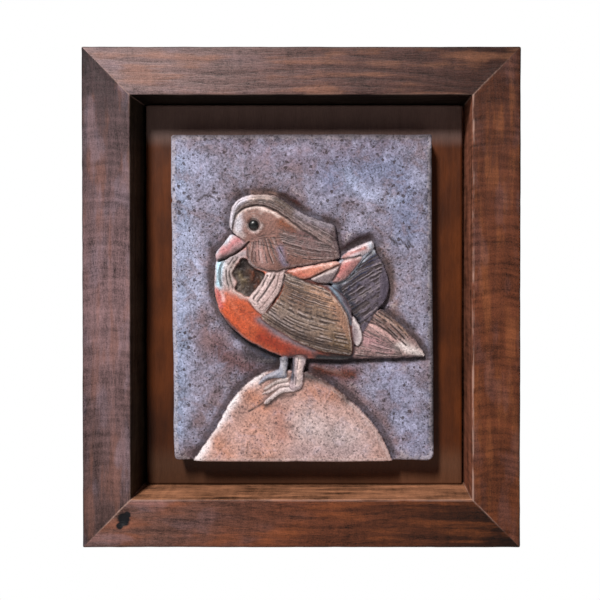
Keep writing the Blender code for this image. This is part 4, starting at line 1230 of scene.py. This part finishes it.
def featherTree():
    tree = bpy.data.node_groups.new("featherStrokes", "GeometryNodeTree")
    tree.is_modifier = True
    sockets = {}
    for name, kind in (("Geometry", "Geometry"), ("First Guide", "Object"), ("Last Guide", "Object"),
                       ("Form", "String"), ("Mark", "String"), ("Count", "Int"), ("Depth", "Float"),
                       ("Width", "Float"), ("Uneven", "Float"), ("Seed", "Int"), ("Finish", "Material")):
        sockets[name] = tree.interface.new_socket(name=name, in_out="INPUT", socket_type="NodeSocket" + kind)
    tree.interface.new_socket(name="Geometry", in_out="OUTPUT", socket_type="NodeSocketGeometry")
    graph = Graph(tree)
    entry = tree.nodes.new("NodeGroupInput")
    given = {name: Wire(graph, entry.outputs[name]) for name in sockets}

    # One row of points for each stroke, between the two guides
    first = graph.add("GeometryNodeObjectInfo", {}, {"Object": given["First Guide"]}, "Geometry")
    last = graph.add("GeometryNodeObjectInfo", {}, {"Object": given["Last Guide"]}, "Geometry")
    settings = {"component": "MESH"}
    length = graph.add("GeometryNodeAttributeDomainSize", settings, {"Geometry": first}, "Point Count")
    sizes = {"Vertices X": given["Count"], "Vertices Y": length}
    grid = graph.add("GeometryNodeMeshGrid", {}, sizes, "Mesh")

    def rowOf(index):
        return graph.add("FunctionNodeIntegerMath", {"operation": "DIVIDE_FLOOR"}, {0: index, 1: length})

    index = graph.add("GeometryNodeInputIndex")
    row = rowOf(index)
    column = graph.add("FunctionNodeIntegerMath", {"operation": "MODULO"}, {0: index, 1: length})
    ends = []
    for guide in (first, last):
        position = graph.add("GeometryNodeInputPosition")
        settings = {"data_type": "FLOAT_VECTOR", "domain": "POINT"}
        sample = {"Geometry": guide, "Value": position, "Index": column}
        ends.append(graph.add("GeometryNodeSampleIndex", settings, sample))
    draw = {"ID": row, "Seed": given["Seed"]}
    chance = graph.add("FunctionNodeRandomValue", {"data_type": "FLOAT"}, draw, 1)
    share = (row + (chance - 0.5) * given["Uneven"]) / (given["Count"] - 1)
    settings = {"data_type": "VECTOR", "clamp_factor": False}
    line = graph.add("ShaderNodeMix", settings, {0: share, 4: ends[0], 5: ends[1]}, 1)
    sizes = {"Vector": line, "Scale": stroke["rippleScale"], "Detail": 1.0}
    ripple = graph.add("ShaderNodeTexNoise", {}, sizes, "Color")
    ripple = graph.add("ShaderNodeVectorMath", {"operation": "SUBTRACT"}, {0: ripple, 1: (0.5, 0.5, 0.5)})
    ripple = graph.brighten(ripple, given["Uneven"] * stroke["rippleReach"])
    rows = graph.add("GeometryNodeSetPosition", {}, {"Geometry": grid, "Position": line, "Offset": ripple})
    ends = graph.add("GeometryNodeInputMeshEdgeVertices")
    one, two = ends.socket.node.outputs[0], ends.socket.node.outputs[1]
    crosses = graph.add("FunctionNodeCompare", {"data_type": "INT", "operation": "NOT_EQUAL"},
                        {2: rowOf(Wire(graph, one)), 3: rowOf(Wire(graph, two))})
    settings = {"domain": "EDGE", "mode": "EDGE_FACE"}
    strokes = graph.add("GeometryNodeDeleteGeometry", settings, {"Geometry": rows, "Selection": crosses})

    # The groove's share at every point of the tile, by its distance across the face
    x, y, z = graph.split(graph.add("GeometryNodeInputPosition"))
    settings = {"target_element": "EDGES"}
    across = graph.join(x, 0.0, z)
    places = {0: strokes, "Sample Position": across}
    distance = graph.add("GeometryNodeProximity", settings, places, "Distance")
    settings = {"data_type": "FLOAT"}
    form = graph.add("GeometryNodeInputNamedAttribute", settings, {"Name": given["Form"]})
    before = graph.add("GeometryNodeInputNamedAttribute", settings, {"Name": given["Mark"]})
    patchy = graph.add("ShaderNodeTexNoise", {}, {"Scale": stroke["fadeScale"], "Detail": 2.0})
    fade = graph.step(patchy, 0.36, 0.54, stroke["leastShown"], 1.0)
    cut = graph.step(distance / given["Width"], 1.0, 0.15) * form * fade
    deepest = graph.add("ShaderNodeMath", {"operation": "MAXIMUM"}, {0: before, 1: cut})
    settings = {"data_type": "FLOAT", "domain": "POINT"}
    noted = graph.add("GeometryNodeStoreNamedAttribute", settings,
                      {"Geometry": given["Geometry"], "Name": given["Mark"], "Value": deepest})
    push = graph.join(0.0, cut * given["Depth"], 0.0)
    carved = graph.add("GeometryNodeSetPosition", {}, {"Geometry": noted, "Offset": push})
    real = graph.add("GeometryNodeRealizeInstances", {}, {"Geometry": carved})
    finished = graph.add("GeometryNodeSetMaterial", {}, {"Geometry": real, "Material": given["Finish"]})
    leave = tree.nodes.new("NodeGroupOutput")
    tree.links.new(finished.socket, leave.inputs["Geometry"])
    return tree, {name: item.identifier for name, item in sockets.items()}


def guideLine(name, cells):
    curve = smoothCurve(inMetres(cells), False, 10)
    mesh = bpy.data.meshes.new(name)
    places = [(x, 0.0, z + tileLow.z) for x, z in curve]
    mesh.from_pydata(places, [(i, i + 1) for i in range(len(places) - 1)], [])
    return linkObject(name, mesh)


def carveFeathers(shape, finish):
    tree, identifiers = featherTree()
    guides = {}
    for name, ends in featherEnds.items():
        guides[name] = [guideLine(name + side, cells) for side, cells in zip(("First", "Last"), ends)]
    for seed, cut in enumerate(featherCuts, stroke["firstSeed"]):
        name, form, mark, count, depth, width, uneven = cut
        modifier = shape.modifiers.new(name, "NODES")
        modifier.node_group = tree
        first, last = guides[name]
        values = {"First Guide": first, "Last Guide": last, "Form": form, "Mark": mark, "Count": count,
                  "Depth": depth, "Width": width, "Uneven": uneven, "Seed": seed, "Finish": finish}
        for socket, value in values.items():
            modifier[identifiers[socket]] = value
    evaluated = shape.evaluated_get(bpy.context.evaluated_depsgraph_get())
    carved = bpy.data.meshes.new_from_object(evaluated)
    shape.modifiers.clear()
    shape.data = carved
    for first, last in guides.values():
        bpy.data.objects.remove(first, do_unlink=True)
        bpy.data.objects.remove(last, do_unlink=True)
    for form in {cut[1] for cut in featherCuts}:
        carved.attributes.remove(carved.attributes[form])
    print("cut", sum(cut[3] for cut in featherCuts), "feather strokes")


def noteRidges(mesh):
    # How far each point stands out from the clay round it, which decides where the oxide was wiped off and
    # where the pale of worn glaze and painted highlight goes
    count = len(mesh.vertices)
    places = np.empty(count * 3)
    mesh.vertices.foreach_get("co", places)
    out = -places[1::3]
    ends = np.empty(len(mesh.edges) * 2, int)
    mesh.edges.foreach_get("vertices", ends)
    one, two = ends[0::2], ends[1::2]
    links = np.bincount(one, minlength=count) + np.bincount(two, minlength=count)
    level = out.copy()
    for i in range(12):
        near = np.bincount(one, level[two], count) + np.bincount(two, level[one], count)
        level = 0.4 * level + 0.6 * near / links
    ridge = np.clip((out - level) / tile["ridgeHeight"], -1.0, 1.0)
    ridge[np.abs(out + tileHigh.y) < 0.010] = 0.0
    calm = np.empty(count)
    mesh.attributes["calm"].data.foreach_get("value", calm)
    mesh.attributes.remove(mesh.attributes["calm"])
    ridge = np.minimum(ridge, 1.0 - calm)
    setAttribute(mesh, "ridge", "FLOAT", ridge)


def firedClay():
    material, graph, shader = newMaterial("firedClay", {"Specular IOR Level": 0.4, "Coat Roughness": 0.25})
    place = graph.add("ShaderNodeTexCoord", {}, {}, "Object")
    glaze = graph.attribute("glaze", "Color")
    shine, bare, groove, pale, ridge = [graph.attribute(name)
                                        for name in ("shine", "bare", "groove", "pale", "ridge")]

    cloud = graph.noise(place, 75.0, 4.0, 0.6)
    scumble = graph.noise(place, 330.0, 4.0, 0.62, 1.6)
    grain = graph.noise(place, 820.0, 3.0, 0.65)
    warm = graph.noise(place, 85.0, 6.0, 0.68, 0.6)
    light = graph.step(graph.split(glaze)[1], 0.015, 0.14)
    tint = graph.blend(graph.step(warm, 0.48, 0.64) * (0.14 + bare * 0.34) * light, glaze, clay["warm"])
    tint = graph.blend(graph.step(warm, 0.50, 0.36) * bare * 0.36 * light, tint, clay["cool"])

    # Oxide that stayed in the hollows, pale dry strokes, and glaze worn thin on the ridges, where it is also
    # a painted highlight
    rough = 1.0 - shine * shine
    tone = (scumble - 0.5) * 2.6 + (grain - 0.5) * 2.5 + (cloud - 0.5) * 1.4
    colour = graph.brighten(tint, 1.04 + tone * rough)
    # Pale on the ridges: worn glaze and a painted highlight
    wearAndHighlight = graph.step(ridge + (scumble - 0.5) * 2.4, 0.45, 1.20)
    wearAndHighlight = wearAndHighlight * (0.55 - shine * 0.3) * (0.25 + light * 0.75)
    colour = graph.blend(wearAndHighlight, colour, graph.blend(0.5, glaze, clay["wearAndHighlight"]))
    colour = graph.blend(pale * (0.34 + (grain - 0.5) * 1.2), colour, clay["pale"])
    stain = graph.step(ridge * -1.0 + (scumble - 0.5) * 1.6, 0.10, 0.95)
    colour = graph.blend(stain * 0.62, colour, clay["groove"])
    colour = graph.blend(groove * (0.78 + (grain - 0.5) * 0.9), colour, clay["groove"])

    # Open pores and grains of grog
    pits = []
    for scale, rarity in clay["pores"]:
        cells = graph.add("ShaderNodeTexVoronoi", {"feature": "F1"}, {"Vector": place, "Scale": scale})
        parts = graph.split(Wire(graph, cells.socket.node.outputs["Color"]))
        size = graph.step(parts[1], 0.0, 1.0, 0.10, 0.28)
        hole = graph.step(cells + (grain - 0.5) * 0.5, size + 0.08, size)
        pits.append(hole * graph.step(parts[0], rarity, rarity + 0.1))
    pit = graph.add("ShaderNodeMath", {"operation": "MAXIMUM"}, {0: pits[0], 1: pits[1]})
    pit = pit * (0.2 + bare * 0.75)
    colour = graph.blend(pit * 0.85, colour, clay["pit"])
    height = (scumble * 0.75 + grain * 0.60) * rough - pit * 0.7
    bump = graph.add("ShaderNodeBump", {}, {"Strength": 0.7, "Distance": 0.0009, "Height": height})
    graph.feed(shader.inputs["Base Color"], colour)
    graph.feed(shader.inputs["Roughness"], 0.84 - shine * 0.45 + (grain - 0.5) * 0.2)
    graph.feed(shader.inputs["Coat Weight"], graph.step(shine, 0.3, 1.0) * 0.4)
    graph.feed(shader.inputs["Normal"], bump)
    return material


def buildTile():
    finish = firedClay()
    mesh = tileMesh()
    mesh.materials.append(finish)
    shape = linkObject("duckReliefTile", mesh)
    carveFeathers(shape, finish)
    noteRidges(shape.data)
    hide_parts("relief_tile")
    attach(shape, "root")


buildStudio()
buildFrame()
buildTile()
print("the panel is dressed")
